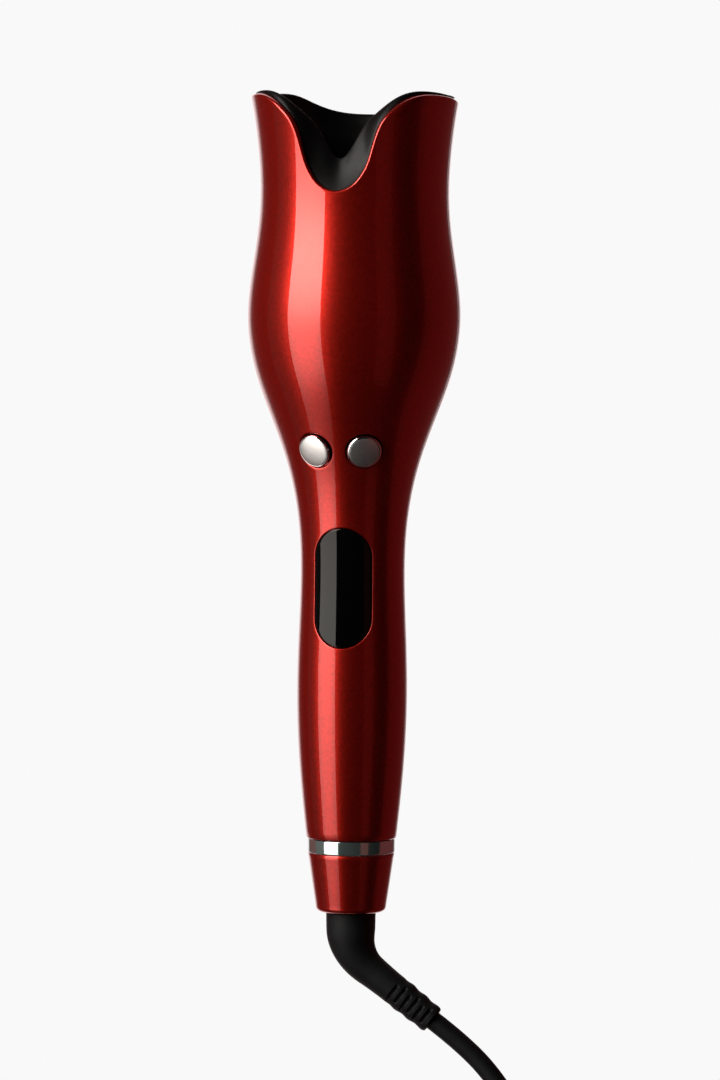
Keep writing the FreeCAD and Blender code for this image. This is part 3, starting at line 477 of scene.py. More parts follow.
RIM_LINE = round_curve(RIM_EDGE)
CREST_LINE = round_curve(CREST)


def rim_height(azimuth):
    """Height of the casing's wavy edge."""
    return np.interp(azimuth, RIM_LINE[:, 0], RIM_LINE[:, 1])


def rim_frame(azimuth):
    """Edge points, outward normals and the directions in the surface, across the edge."""
    step = 0.05
    edge = casing_point(azimuth, rim_height(azimuth))
    ahead = casing_point(azimuth + step, rim_height(azimuth + step))
    behind = casing_point(azimuth - step, rim_height(azimuth - step))
    normal = casing_normal(azimuth, rim_height(azimuth))
    across = np.cross(normal, ahead - behind)
    across /= np.linalg.norm(across, axis=-1, keepdims=True)
    across *= np.sign(across[..., 2:3])
    return edge, normal, across


def rim_azimuths(low, high, spacing):
    """Azimuths evenly spaced along the rim's edge."""
    azimuths = np.linspace(low, high, 3000)
    edge = casing_point(azimuths, rim_height(azimuths))
    line = evenly_along(np.concatenate([edge, azimuths[:, None]], axis=1), spacing)
    return line[:, 3]


def onto_casing(points, inward):
    """Points moved along a direction until they meet the casing, as azimuth and height."""
    near = np.zeros(len(points))
    far = np.full(len(points), OUTLINE_REACH)
    for _ in range(45):
        middle = (near + far) / 2
        probe = points + inward * middle[:, None]
        outside = np.hypot(probe[:, 0], probe[:, 1]) > casing_radius(probe[:, 2])
        near = np.where(outside, middle, near)
        far = np.where(outside, far, middle)
    probe = points + inward * near[:, None]
    return np.stack([np.degrees(np.arctan2(probe[:, 0], -probe[:, 1])), probe[:, 2]], axis=1)


class Opening:
    """A round or capsule hole cut straight into the casing; window is the grid area it takes up."""

    def __init__(self, centre, outward, half_width, half_straight, window):
        self.centre = np.asarray(centre, float)
        self.outward = np.asarray(outward, float)
        self.half_width = half_width
        self.half_straight = half_straight
        self.window = window
        self.across = np.cross((0, 0, 1), self.outward)
        self.across /= np.linalg.norm(self.across)
        self.along = np.cross(self.outward, self.across)

    def outline(self, angles, grow):
        """Points of the outline at angles round the centre, in the plane of the hole."""
        half = self.half_width + grow
        straight = self.half_straight
        cosine = np.abs(np.cos(angles))
        sine = np.abs(np.sin(angles))
        side = half / np.maximum(cosine, 1e-9)
        room = np.maximum(half ** 2 - (straight * cosine) ** 2, 0)
        end = straight * sine + np.sqrt(room)
        reach = np.where(side * sine <= straight, side, end)
        flat = np.outer(reach * np.cos(angles), self.across) + np.outer(reach * np.sin(angles), self.along)
        return self.centre + self.outward * OUTLINE_LIFT + flat

    def ring(self, angles, grow, depth):
        """Outline on the casing, sunk by a depth along the hole."""
        where = onto_casing(self.outline(angles, grow), -self.outward)
        return casing_point(where[:, 0], where[:, 1]) - self.outward * depth

    def places(self, angles, grow):
        """Outline on the casing, as azimuths and heights."""
        return onto_casing(self.outline(angles, grow), -self.outward)

    def angles_of(self, places):
        """Angles of casing places, seen along the hole."""
        flat = casing_point(places[:, 0], places[:, 1]) - self.centre
        return np.arctan2(flat @ self.along, flat @ self.across)


def button_frame(side):
    """Point on the casing at a button's centre, and the direction out of it."""
    azimuth = math.radians(side * BUTTON_AZIMUTH)
    tilt = math.radians(BUTTON_TILT)
    centre = (BUTTON_SURFACE * math.sin(azimuth), -BUTTON_SURFACE * math.cos(azimuth), BUTTON_HEIGHT)
    outward = (math.cos(tilt) * math.sin(azimuth), -math.cos(tilt) * math.cos(azimuth), -math.sin(tilt))
    return np.array(centre), np.array(outward)


LENS_OPENING = Opening((0, LENS_FRONT, LENS_CENTRE), (0, -1, 0), LENS_HALF_WIDTH + HOLE_GAP,
                       LENS_HALF_STRAIGHT, ((-50, 50), (88, 144)))
BUTTON_OPENINGS = [Opening(*button_frame(side), BUTTON_HOLE, 0.0, window)
                   for side, window in ((-1, ((-46, 0), (154, 176))), (1, ((0, 46), (154, 176))))]


def window_edge(grid, rows, columns):
    """Grid places round a window, in order."""
    low_row, high_row = rows
    low, high = columns
    bottom = [grid[low_row, column] for column in range(low, high)]
    right = [grid[row, high] for row in range(low_row, high_row)]
    top = [grid[high_row, column] for column in range(high, low, -1)]
    left = [grid[row, low] for row in range(high_row, low_row, -1)]
    return np.array(bottom + right + top + left)


def fill_window(builder, places, opening):
    """Rings from a window's edge to the rounded edge and the wall of its hole."""
    angles = opening.angles_of(places)
    collar = opening.places(angles, HOLE_COLLAR)
    rings = [casing_point(places[:, 0], places[:, 1])]
    for t in (0.16, 0.33, 0.5, 0.67, 0.84, 1.0):
        mixed = places * (1 - t) + collar * t
        rings.append(casing_point(mixed[:, 0], mixed[:, 1]))
    for turn in np.radians((0, 18, 36, 54, 72, 90)):
        grow = HOLE_ROUND * (1 - math.sin(turn))
        depth = HOLE_ROUND * (1 - math.cos(turn))
        rings.append(opening.ring(angles, grow, depth))
    rings.append(opening.ring(angles, 0, WALL))
    builder.rings(rings)


def casing_half(name, low_azimuth, high_azimuth, openings, replaced):
    """One half of the casing: outside, rounded rim and seam, inside, and its openings."""
    builder = Builder()
    turn = math.degrees(SEAM_GAP / SEAM_RADIUS)
    azimuths = rim_azimuths(low_azimuth + turn, high_azimuth - turn, 0.75)
    if openings:
        azimuths = np.sort(np.append(azimuths[np.abs(azimuths) > 0.15], 0.0))
    edge_steps = [(0.0, 1.0), (0.0, SEAM_ROUND), (0.06, 0.06), (SEAM_ROUND, 0.0)]
    edge_steps = [(math.degrees(shift / SEAM_RADIUS), inset) for shift, inset in edge_steps]
    lows = [(azimuths[0] + shift, inset) for shift, inset in edge_steps]
    highs = [(azimuths[-1] - shift, inset) for shift, inset in edge_steps[::-1]]
    inner = azimuths[(azimuths > lows[-1][0] + 0.4) & (azimuths < highs[0][0] - 0.4)]
    columns = np.array([azimuth for azimuth, _ in lows] + list(inner) + [azimuth for azimuth, _ in highs])
    insets = np.array([inset for _, inset in lows] + [0.0] * len(inner) + [inset for _, inset in highs])

    edge, normal, across = rim_frame(columns)
    below = edge - across * RIM_ROUND
    below_places = np.stack([np.degrees(np.arctan2(below[:, 0], -below[:, 1])), below[:, 2]], axis=1)
    if high_azimuth > 180:
        below_places[:, 0] = np.mod(below_places[:, 0], 360)

    heights = np.concatenate([np.arange(CASING_LOW + 0.4, 88, 2.2), np.arange(88, 144, 1.4),
                              np.arange(144, 154, 2.0), np.arange(154, 176, 1.0),
                              np.arange(176, RIM_START + 0.1, 2.0)])
    grid = [np.stack([columns, np.full(len(columns), height)], axis=1) for height in heights]
    for t in np.linspace(0, 1, 34)[1:]:
        grid.append(grid[len(heights) - 1] * (1 - t) + below_places * t)
    grid = np.array(grid)
    surface = casing_point(grid[..., 0], grid[..., 1], np.broadcast_to(insets, grid.shape[:2]))

    rows, width = grid.shape[:2]
    taken = np.zeros((rows - 1, width - 1), bool)
    for opening in openings:
        azimuth_span, height_span = opening.window
        first = int(np.argmin(np.abs(columns - azimuth_span[0])))
        last = int(np.argmin(np.abs(columns - azimuth_span[1])))
        bottom = int(np.argmin(np.abs(heights - height_span[0])))
        top = int(np.argmin(np.abs(heights - height_span[1])))
        taken[bottom:top, first:last] = True
        fill_window(builder, window_edge(grid, (bottom, top), (first, last)), opening)
    start = sum(len(points) for points in builder.points)
    builder.points.append(surface.reshape(-1, 3))
    for face in strip_faces((rows, width), False, start):
        row, column = divmod(face[0] - start, width)
        if not taken[row, column]:
            builder.faces.append(face)

    rim = [surface[-1]]
    for angle in np.radians((18, 36, 54, 72, 90)):
        sideways = RIM_ROUND * (1 - math.sin(angle))
        depth = RIM_ROUND * (1 - math.cos(angle)) + insets
        rim.append(edge - across * sideways - normal * depth[:, None])
    rim.append(edge - normal * WALL)
    rim.append(edge - normal * WALL - across * 3)
    for height in np.arange(RIM_START, CASING_LOW, -12):
        rim.append(casing_point(columns, np.full(width, height), np.full(width, WALL)))
    rim.append(casing_point(columns, np.full(width, CASING_LOW), np.full(width, WALL)))
    rim.append(casing_point(columns, np.full(width, CASING_LOW), np.maximum(insets, 0.4)))
    rim.append(casing_point(columns, np.full(width, CASING_LOW + 0.12), np.maximum(insets, 0.12)))
    rim.append(surface[0])
    builder.rings(rim, closed=False)
    return builder.piece(name, "casing", LACQUER, "casing_red", replaced)


casing_half("front_casing", -90, 90, [LENS_OPENING] + BUTTON_OPENINGS, ["front_shell"])
casing_half("rear_casing", 90, 270, [], ["rear_shell"])


# --- mouth liner ---

def liner():
    """Black liner: proud edge, pouring lip in the notch, funnel and bore."""
    azimuths = rim_azimuths(-180, 180, 0.7)[:-1]
    edge, normal, across = rim_frame(azimuths)
    angle = np.radians(azimuths)
    radial = np.stack([np.sin(angle), -np.cos(angle), np.zeros_like(angle)], axis=1)
    crest_radius = np.interp(azimuths, CREST_LINE[:, 0], CREST_LINE[:, 1])
    crest_height = np.interp(azimuths, CREST_LINE[:, 0], CREST_LINE[:, 2])

    def ring(radius, height):
        return radial * np.asarray(radius)[..., None] + np.array([0, 0, 1]) * np.asarray(height)[..., None]

    flat = np.zeros_like(angle)
    crest = ring(crest_radius, crest_height)
    start = edge - normal * (WALL + 0.02)
    bore_top = np.minimum(BORE_TOP, crest_height - 3.5)
    inner_radius = np.minimum(crest_radius - 0.25, (crest_radius + BORE_RADIUS) / 2 + 0.4)
    lift = crest - start
    rows = [start - across * 2.6, start - across * 0.8, start - across * 0.1,
            start + lift * 0.3 + across * 0.35, start + lift * 0.62 + across * 0.45,
            start + lift * 0.86 + across * 0.2,
            crest + ring(flat, flat + 0.15), ring(crest_radius - 0.55, crest_height - 0.1),
            ring(np.maximum(crest_radius - 1.2, BORE_RADIUS + 0.1), crest_height - 1.3),
            ring(np.maximum(inner_radius, BORE_RADIUS), (crest_height + bore_top) / 2),
            ring(flat + BORE_RADIUS + 0.15, bore_top), ring(flat + BORE_RADIUS, bore_top - 3),
            ring(flat + BORE_RADIUS, flat + 262), ring(flat + BORE_RADIUS, flat + BORE_LOW)]
    builder = Builder()
    builder.rings(soft_rows(rows, 70))
    return builder.piece("mouth_lining", "casing", MATERIALS["liner_black"], "liner_black", ["mouth_liner"])


liner()


# --- display window ---

def display_window():
    """Glossy window that follows the casing, with a rounded edge."""
    builder = Builder()
    shape = Opening((0, LENS_FRONT, LENS_CENTRE), (0, -1, 0), LENS_HALF_WIDTH, LENS_HALF_STRAIGHT, None)
    angles = np.linspace(0, 2 * math.pi, 240, endpoint=False)
    edge = shape.outline(angles, -LENS_ROUND)
    middle = shape.centre + shape.outward * OUTLINE_LIFT
    spine = np.clip((edge - middle) @ shape.along, -LENS_HALF_STRAIGHT, LENS_HALF_STRAIGHT)
    spine = middle + np.outer(spine, shape.along)
    rings = []
    for share in np.linspace(0, 0.96, 12):
        where = onto_casing(spine * (1 - share) + edge * share, -shape.outward)
        rings.append(casing_point(where[:, 0], where[:, 1]))
    for turn in np.radians((0, 22, 45, 68, 90)):
        grow = -LENS_ROUND * (1 - math.sin(turn))
        depth = LENS_ROUND * (1 - math.cos(turn))
        rings.append(shape.ring(angles, grow, depth))
    rings.append(shape.ring(angles, 0, LENS_DEPTH))
    rings.append(shape.ring(angles, -3, LENS_DEPTH))
    builder.rings(rings)
    return builder.piece("display_window", "casing", MATERIALS["lens_black"], "lens_black", ["display_lens"])


display_window()


# --- buttons ---

def button_cap(name, side):
    """Satin cap with a bright chamfered rim, its skirt, flange and stem; all below the rim is painted black
    as painted shade of the gap round the cap.
    """
    centre, outward = button_frame(side)
    face = [(0, 1.4), (1.5, 1.38), (3.0, 1.3), (4.2, 1.18), (5.1, 1.06), (BUTTON_FACE, 1.0)]
    profile = face + [(5.46, 0.94), (5.54, 0.98), (5.66, 0.99), (5.8, 0.92), (6.02, 0.68), (6.11, 0.5),
                      (BUTTON_RADIUS, 0.25), (BUTTON_RADIUS, -2), (BUTTON_RADIUS, -6), (5.55, -6),
                      (5.55, -6.9), (7.2, -6.9), (7.2, -7.7), (1.5, -7.7), (1.5, -8.8), (0, -8.8)]
    rings = np.array(lathe(profile, 96))
    flange = (rings[:, 0, 2] < -6.5) & (rings[:, 0, 2] > -7.8)
    rings[flange, :, 0] = np.clip(rings[flange, :, 0], -FLANGE_FLAT, FLANGE_FLAT)
    builder = Builder()
    builder.rings(turned_rings(rings, centre, outward))
    piece = builder.piece(name + "_cap", name, MATERIALS["silver_caps"], "silver_caps", [name])
    piece.data.materials.append(BRIGHT_RIM)
    piece.data.materials.append(MATERIALS["liner_black"])
    middle = Vector(to_world(centre))
    normal = (Vector(to_world(centre + outward)) - middle).normalized()
    for polygon in piece.data.polygons:
        reach = Vector(polygon.center) - middle
        out = reach.dot(normal)
        # Painted shade: the skirt, flange and stem below the rim take the black liner material, so the gap
        # round the cap looks shaded.
        if out < 0.3 * MM:
            polygon.material_index = 2
        elif (reach - normal * out).length > (BUTTON_FACE + 0.01) * MM:
            polygon.material_index = 1
    return piece


button_cap("left_button", -1)
button_cap("right_button", 1)


# --- tail ---

def bright_ring():
    """Bright ring with small bevels."""
    inner, outer, low, high = RING
    profile = rounded_profile([(inner, low, 0), (outer, low, 0.45), (outer, high, 0.45), (13.6, high, 0.2),
                               (13.6, 32, 0), (inner, 32, 0), (inner, low, 0)])
    builder = Builder()
    builder.rings(lathe(profile, 180))
    return builder.piece("bright_ring", "casing", MATERIALS["chrome"], "chrome", ["chrome_ring"])


def tail_cover():
    """Tapered red cap with a softly rounded end."""
    side = chord_spline([(height, radius) for radius, height in TAIL_PROFILE], 14)
    wall = [(radius, height) for height, radius in side]
    top = wall[-1]
    corner = [(wall[0][0] - TAIL_ROUND * (1 - math.cos(turn)), wall[0][1] - TAIL_ROUND * math.sin(turn))
              for turn in np.linspace(math.pi / 2, 0.12, 9)]
    profile = [(6.2, 2.4), (6.2, 0.25), (6.5, 0.0)] + corner + wall
    profile += [(top[0] - 0.12, top[1] + 0.1), (top[0] - 2.0, top[1] + 0.1), (13.0, 18), (10.6, 2.4),
                (6.2, 2.4)]
    builder = Builder()
    builder.rings(lathe(profile, 180))
    return builder.piece("tail_cover", "casing", LACQUER, "casing_red", ["tail_cap"])


bright_ring()
tail_cover()


# --- cord boot ---

def boot_path(distance):
    """Centre and direction of the elbow at a distance from its shoulder."""
    tangent = BOOT_BEND * math.tan(BOOT_TURN / 2)
    first = BOOT_TOP - (BOOT_CORNER + tangent)
    arc = BOOT_BEND * BOOT_TURN
    if distance <= first:
        return np.array([0, 0, BOOT_TOP - distance]), 0.0
    if distance <= first + arc:
        angle = (distance - first) / BOOT_BEND
        return np.array([BOOT_BEND * (1 - math.cos(angle)), 0,
                         BOOT_CORNER + tangent - BOOT_BEND * math.sin(angle)]), angle
    rest = distance - first - arc + tangent
    out = np.array([math.sin(BOOT_TURN), 0, -math.cos(BOOT_TURN)])
    return np.array([0, 0, BOOT_CORNER]) + out * rest, BOOT_TURN


def boot_ring(distance, radii, turns):
    """One ring of the elbow."""
    centre, angle = boot_path(distance)
    across = np.array([math.cos(angle), 0, math.sin(angle)])
    return centre + np.outer(radii * np.cos(turns), across) + np.outer(radii * np.sin(turns), (0, 1, 0))


def step_between(value, low, high):
    """Smooth step from 0 to 1."""
    t = np.clip((value - low) / (high - low), 0, 1)
    return t * t * (3 - 2 * t)


def boot():
    """Rubber elbow: swelling root, slim end with staggered relief slots, and its neck."""
    length = BOOT_LENGTH + BOOT_TOP - BOOT_CORNER - 2 * BOOT_BEND * math.tan(BOOT_TURN / 2)
    length += BOOT_BEND * BOOT_TURN
    turns = np.linspace(0, 2 * math.pi, 96, endpoint=False)
    knots = np.array([place for place, _ in BOOT_RADII])
    radii = np.array([radius for _, radius in BOOT_RADII])
    places = np.concatenate([np.arange(0.5, length - 20, 0.6), np.arange(length - 20, length - 0.6, 0.2)])
    neck = [(0, 21), (4, 21), (4, 13.3), (5, 13.3), (5, BOOT_TOP)]
    builder = Builder()
    rings = lathe(neck, 96)
    rings += [boot_ring(0, np.full(96, radius), turns) for radius in (8.45, 8.8)]
    rings.append(boot_ring(0.18, np.full(96, 8.93), turns))
    slots = [(length - 2.6 - 2.9 * number, math.radians(8 if number % 2 else -8)) for number in range(6)]
    for place in places:
        radius = natural_spline(knots, radii, np.array([place]))[0] + np.zeros(96)
        for centre, shift in slots:
            along = 1 - step_between(abs(place - centre), 0.35, 0.75)
            facing = np.abs(np.sin(turns + shift))
            radius -= 0.95 * along * step_between(facing, 0.72, 0.86)
        ripple = 0.22 * (1 + math.sin((length - place) * 1.08))
        radius += ripple * (1 - np.abs(np.sin(turns))) * step_between(place, length - 20, length - 14)
        rings.append(boot_ring(place, radius, turns))
    for place, radius in ((length - 0.35, 4.95), (length - 0.08, 4.75), (length, 4.45), (length, 3.7),
                          (length - 0.3, 3.55), (length - 3, 3.5)):
        rings.append(boot_ring(place, np.full(96, radius), turns))
    builder.rings(rings)
    return builder.piece("boot_elbow", "cord_swivel", MATERIALS["boot_rubber"], "boot_rubber", ["cord_boot"])


boot()


# --- plug and tie ---

def plug_frame():
    """Plug's start, its direction and the direction across its blades, in metres."""
    start = np.array(LEAD_OUT[-1])
    out = start - np.array(LEAD_OUT[-2])
    out[2] = 0
    out /= np.linalg.norm(out)
    return start, out, np.array([-out[1], out[0], 0])


def plug_rings(sections, turns):
    """Rings of rounded sections along the plug: distance, half width, half height, squareness."""
    start, out, side = plug_frame()
    rings = []
    for distance, width, height, power in sections:
        cosine = np.sign(np.cos(turns)) * np.abs(np.cos(turns)) ** power
        sine = np.sign(np.sin(turns)) * np.abs(np.sin(turns)) ** power
        ring = start + out * distance * MM + np.outer(width * cosine * MM, side)
        rings.append(ring + np.outer(height * sine * MM, (0, 0, 1)))
    return rings


def plug_pieces():
    """Ribbed strain relief and moulded grip."""
    turns = np.linspace(0, 2 * math.pi, 72, endpoint=False)
    relief = [(-0.2, 3.5, 3.5, 1), (0, 3.9, 3.9, 1), (0.3, 4.3, 4.3, 1)]
    for number in range(7):
        base = 4.4 + 0.2 * number
        place = 1.2 + 3.3 * number
        relief += [(place, base, base, 1), (place + 1.5, base + 0.15, base + 0.15, 1),
                   (place + 1.8, base - 0.7, base - 0.7, 1), (place + 2.9, base - 0.6, base - 0.6, 1),
                   (place + 3.1, base + 0.1, base + 0.1, 1)]
    relief += [(25.2, 5.7, 5.5, 1), (26, 5.8, 5.6, 1)]
    builder = Builder()
    builder.rings(plug_rings(relief, turns))
    sleeve = builder.piece("plug_relief", "cord_swivel", MATERIALS["boot_rubber"], "boot_rubber",
                           ["plug_boot"], world=True)
    grip = [(26, 4.5, 4.2, 1), (26, 6.0, 5.6, 0.95), (26.4, 6.6, 6.1, 0.92), (29, 7.4, 6.7, 0.85),
            (33, 8.8, 7.4, 0.75), (38, 10.2, 8.0, 0.66), (43, 11.0, 8.3, 0.62), (48, 11.5, 8.45, 0.58),
            (53, 11.9, 8.55, 0.56), (55.2, 11.95, 8.58, 0.55), (55.8, 11.7, 8.35, 0.55),
            (56, 11.2, 7.9, 0.55), (56, 6, 4, 0.6), (56, 0.01, 0.01, 1)]
    builder = Builder()
    builder.rings(plug_rings(grip, turns))
    body = builder.piece("plug_grip", "cord_swivel", MATERIALS["boot_rubber"], "boot_rubber",
                         ["plug_body"], world=True)
    return [sleeve, body]


def coil_tie():
    """Strap round the coil's turns."""
    radii = (COIL_RADII[0] - CORD_DIAMETER / 2, COIL_RADII[-1] + CORD_DIAMETER / 2)
    top = COIL_LAYERS[-1] + CORD_DIAMETER / 2
    angle = math.radians(115)
    outward = np.array([math.cos(angle), math.sin(angle), 0])
    sideways = np.array([-math.sin(angle), math.cos(angle), 0])
    centre = np.array([*COIL_CENTRE, 0]) + outward * (radii[0] + radii[1]) / 2
    half = (radii[1] - radii[0]) / 2
    middle = top / 2
    turns = np.linspace(0, 2 * math.pi, 64, endpoint=False)
    rings = []
    outline = ((-4.9, 0.1), (-5, 0.5), (-4.9, 0.95), (4.9, 0.95), (5, 0.5), (4.9, 0.1), (-4.9, 0.1))
    for across, grow in outline:
        cosine = np.sign(np.cos(turns)) * np.abs(np.cos(turns)) ** 0.5
        sine = np.sign(np.sin(turns)) * np.abs(np.sin(turns)) ** 0.5
        width = half + grow * MM
        height = middle + grow * MM
        up = np.maximum(middle + height * sine, 0.0001)
        ring = centre + sideways * across * MM + np.outer(width * cosine, outward) + np.outer(up, (0, 0, 1))
        rings.append(ring)
    builder = Builder()
    builder.rings(rings)
    return builder.piece("coil_strap", "cord_swivel", MATERIALS["tie_strap"], "tie_strap",
                         ["cord_tie"], world=True)


# --- cord ---

def coil_points():
    """Control points of six turns: three on the table from outside in, three above from inside out."""
    rings = (2, 1, 0, 0, 1, 2)
    jog = math.radians(80)
    swell = 1 / math.cos(math.pi / POINTS_PER_TURN)
    points = []
    for step in range(len(rings) * POINTS_PER_TURN + 1):
        turned = 2 * math.pi * step / POINTS_PER_TURN
        lap = min(int(turned / (2 * math.pi)), len(rings) - 1)
        into = turned - lap * 2 * math.pi
        last = lap == len(rings) - 1
        mix = 0.0 if last else float(step_between(into, 2 * math.pi - jog, 2 * math.pi))
        following = min(lap + 1, len(rings) - 1)
        radius = COIL_RADII[rings[lap]] * (1 - mix) + COIL_RADII[rings[following]] * mix
        low = COIL_LAYERS[0] if lap < 3 else COIL_LAYERS[1]
        high = COIL_LAYERS[0] if following < 3 else COIL_LAYERS[1]
        height = low * (1 - mix) + high * mix
        if lap == 3:
            height += 0.0024 * math.sin(math.pi * mix)
        points.append((COIL_CENTRE[0] + radius * swell * math.cos(-turned),
                       COIL_CENTRE[1] + radius * swell * math.sin(-turned), height))
    return points


def cord():
    """Mains cord from the boot, through its coil, to the plug."""
    route = LEAD_IN + coil_points() + LEAD_OUT
    curve = bpy.data.curves.new("mains_cord", "CURVE")
    curve.dimensions = "3D"
    curve.bevel_depth = CORD_DIAMETER / 2
    curve.bevel_resolution = 8
    curve.resolution_u = 10
    curve.use_fill_caps = True
    line = curve.splines.new("NURBS")
    line.points.add(len(route) - 1)
    for point, place in zip(line.points, route):
        point.co = (*place, 1)
    line.order_u = 3
    line.use_endpoint_u = True
    piece = bpy.data.objects.new("mains_cord", curve)
    bpy.context.scene.collection.objects.link(piece)
    curve.materials.append(MATERIALS["cord_jacket"])
    finish_piece(piece, "cord_swivel", ["power_cord", "cord_coil", "cord_end"])
    on_cord = plug_pieces() + [coil_tie(), frame["nodes"]["plug_blades"]]


cord()


# --- carried-over pieces ---

def dress_nodes():
    """Gives every CAD node the material of its slot."""
    for entry in frame["record"]["subparts"]:
        piece = frame["nodes"][entry["node"]]
        for holder in piece.material_slots:
            holder.material = MATERIALS[entry["material_slot"]]


dress_nodes()


# --- stage, light and camera ---

CAMERA_AZIMUTH = 12.0
CAMERA_ELEVATION = 4.0
CAMERA_DISTANCE = 2600.0
CAMERA_ROLL = -0.33
VIEW_HEIGHT = 386.2
TARGET = (2.5, 133.4)
SENSOR = 36.0

# Radiance of the large lamp from its end by the tail (0) to its end by the head (1).
STRIP_GLOW = [(0.0, 0.35), (0.15, 0.42), (0.22, 0.85), (0.26, 1.3), (0.3125, 2.1), (0.3525, 2.6),
              (0.5, 3.3), (0.556, 4.4), (0.69, 8.5), (1.0, 9.5)]
WING_GLOW = [(0, 0.08), (1, 0.12)]
TAIL_TINT = (1.0, 0.84, 0.78)
HEAD_TINT = (1.0, 0.95, 0.88)
TAIL_TINT_END = 0.36


def direction(azimuth, elevation=0.0):
    """Direction from the axis, in the upright frame."""
    turn = math.radians(azimuth)
    rise = math.radians(elevation)
    return np.array([math.cos(rise) * math.sin(turn), -math.cos(rise) * math.cos(turn), math.sin(rise)])


def aim(piece, place, target, up):
    """Places a camera or lamp and points it at a target."""
    place = Vector(place)
    back = (place - Vector(target)).normalized()
    across = Vector(up).cross(back).normalized()
    upward = back.cross(across)
    turn = Matrix((across, upward, back)).transposed().to_4x4()
    piece.matrix_world = Matrix.Translation(place) @ turn


def camera():
    """Camera that shows the tool upright, from a little to the right of its front."""
    data = bpy.data.cameras.new("camera")
    data.sensor_width = SENSOR
    data.lens = SENSOR * CAMERA_DISTANCE / VIEW_HEIGHT
    data.clip_end = 50
    piece = bpy.data.objects.new("camera", data)
    bpy.context.scene.collection.objects.link(piece)
    turn = math.radians(CAMERA_AZIMUTH)
    target = np.array([TARGET[0] * math.cos(turn), TARGET[0] * math.sin(turn), TARGET[1]])
    place = target + direction(CAMERA_AZIMUTH, CAMERA_ELEVATION) * CAMERA_DISTANCE
    aim(piece, to_world(place), to_world(target), AXIS)
    piece.matrix_world = piece.matrix_world @ Matrix.Rotation(math.radians(-CAMERA_ROLL), 4, "Z")
    bpy.context.scene.camera = piece


def glow_plane(name, half_x, half_y, height, colour, strength, seen_by, shift=0.0, fade=0.0):
    """Level, glowing plane that may fade towards its sides; seen_by names the rays that meet it."""
    mesh = bpy.data.meshes.new(name)
    corners = [(-half_x, -half_y, height), (half_x, -half_y, height), (half_x, half_y, height),
               (-half_x, half_y, height)]
    mesh.from_pydata(corners, [], [(0, 1, 2, 3)])
    plane = bpy.data.objects.new(name, mesh)
    bpy.context.scene.collection.objects.link(plane)
    made = bpy.data.materials.new(name)
    made.use_nodes = True
    made.node_tree.nodes.clear()
    light = node(made, "ShaderNodeEmission", Color=(*colour, 1), Strength=strength)
    output = node(made, "ShaderNodeOutputMaterial")
    made.node_tree.links.new(light.outputs["Emission"], output.inputs["Surface"])
    if fade:
        split = node(made, "ShaderNodeSeparateXYZ")
        made.node_tree.links.new(coordinates(made), split.inputs["Vector"])
        size = node(made, "ShaderNodeMath", operation="ABSOLUTE")
        made.node_tree.links.new(split.outputs["X"], size.inputs[0])
        span = node(made, "ShaderNodeMapRange", interpolation_type="SMOOTHSTEP")
        span.inputs["From Min"].default_value = half_x * (1 - fade)
        span.inputs["From Max"].default_value = half_x
        span.inputs["To Min"].default_value = strength
        span.inputs["To Max"].default_value = strength * 0.05
        made.node_tree.links.new(size.outputs["Value"], span.inputs["Value"])
        made.node_tree.links.new(span.outputs["Result"], light.inputs["Strength"])
    mesh.materials.append(made)
    plane.visible_camera = "camera" in seen_by
    plane.visible_diffuse = "diffuse" in seen_by
    plane.visible_glossy = "glossy" in seen_by
    plane.visible_transmission = "camera" in seen_by
    plane.visible_shadow = False
    plane.location.x = shift
    return plane


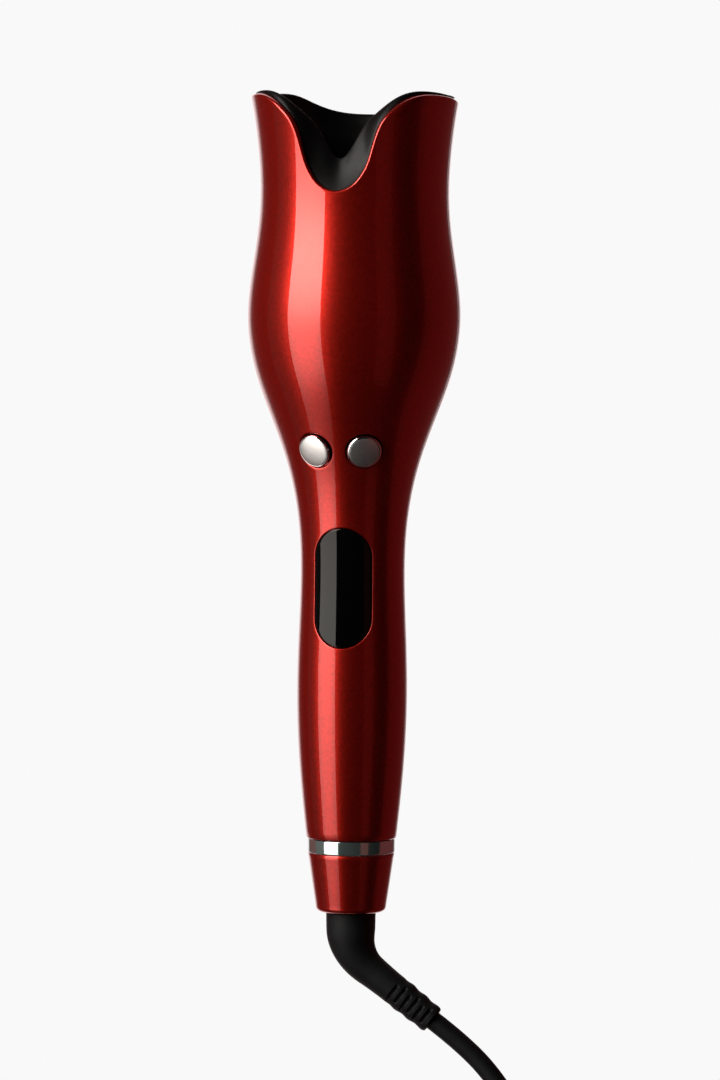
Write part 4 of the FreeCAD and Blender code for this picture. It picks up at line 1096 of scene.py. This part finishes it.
def glow_card(name, azimuth, distance, heights, width, stops):
    """Upright glowing card that faces the tool's axis; its radiance changes along its length."""
    low, high = heights
    half = (high - low) / 2 * MM
    side = width / 2 * MM
    mesh = bpy.data.meshes.new(name)
    corners = [(-side, -half, 0), (side, -half, 0), (side, half, 0), (-side, half, 0)]
    mesh.from_pydata(corners, [], [(0, 1, 2, 3)])
    card = bpy.data.objects.new(name, mesh)
    bpy.context.scene.collection.objects.link(card)
    made = bpy.data.materials.new(name)
    made.use_nodes = True
    made.node_tree.nodes.clear()
    split = node(made, "ShaderNodeSeparateXYZ")
    made.node_tree.links.new(coordinates(made), split.inputs["Vector"])
    span = node(made, "ShaderNodeMapRange")
    span.inputs["From Min"].default_value = -half
    span.inputs["From Max"].default_value = half
    made.node_tree.links.new(split.outputs["Y"], span.inputs["Value"])
    ramp = node(made, "ShaderNodeValToRGB")
    most = max(radiance for _, radiance in stops)
    while len(ramp.color_ramp.elements) < len(stops):
        ramp.color_ramp.elements.new(0.5)
    for element, (place, radiance) in zip(ramp.color_ramp.elements, stops):
        element.position = place
        tint = TAIL_TINT if place < TAIL_TINT_END else HEAD_TINT
        element.color = (*(radiance / most * channel for channel in tint), 1)
    made.node_tree.links.new(span.outputs["Result"], ramp.inputs["Fac"])
    light = node(made, "ShaderNodeEmission", Strength=most)
    made.node_tree.links.new(ramp.outputs["Color"], light.inputs["Color"])
    output = node(made, "ShaderNodeOutputMaterial")
    made.node_tree.links.new(light.outputs["Emission"], output.inputs["Surface"])
    mesh.materials.append(made)
    foot = np.array([0, 0, (low + high) / 2])
    aim(card, to_world(foot + direction(azimuth) * distance), to_world(foot), AXIS)
    card.visible_camera = False
    card.visible_shadow = False
    return card


def softbox(name, azimuth, distance, height, width, length, radiance, colour):
    """Rectangular lamp facing the tool's axis; its long side runs along the axis."""
    data = bpy.data.lights.new(name, "AREA")
    data.shape = "RECTANGLE"
    data.size = width * MM
    data.size_y = length * MM
    data.energy = radiance * math.pi * data.size * data.size_y
    data.color = colour
    piece = bpy.data.objects.new(name, data)
    bpy.context.scene.collection.objects.link(piece)
    foot = np.array([0, 0, height])
    aim(piece, to_world(foot + direction(azimuth) * distance), to_world(foot), AXIS)
    return piece


def studio():
    """Pale floor, dark room and soft lamps."""
    glow_plane("floor", 6, 6, -0.0004, (1, 1, 1), 0.947, ("camera",))
    glow_plane("bounce", 6, 6, -0.0008, (1, 1, 1), 0.5, ("diffuse",))
    glow_plane("near_glow", 0.285, 1.2, -0.33, (1, 0.84, 0.84), 1.15, ("glossy",), shift=-0.13, fade=0.5)
    glow_plane("far_glow", 5, 5, -0.34, (1, 0.17, 0.16), 0.145, ("glossy",))
    world = bpy.data.worlds.new("room")
    world.use_nodes = True
    world.node_tree.nodes["Background"].inputs["Color"].default_value = (1, 1, 1, 1)
    world.node_tree.nodes["Background"].inputs["Strength"].default_value = 0.006
    bpy.context.scene.world = world
    glow_card("left_strip", CAMERA_AZIMUTH - 55.5, 700, (-700, 900), 496, STRIP_GLOW)
    glow_card("left_wing", CAMERA_AZIMUTH - 92, 760, (-500, 900), 380, WING_GLOW)
    softbox("right_fill", CAMERA_AZIMUTH + 35, 900, 100, 330, 1100, 0.12, (1, 0.22, 0.18))
    bpy.context.scene.view_settings.view_transform = "Standard"


camera()
studio()
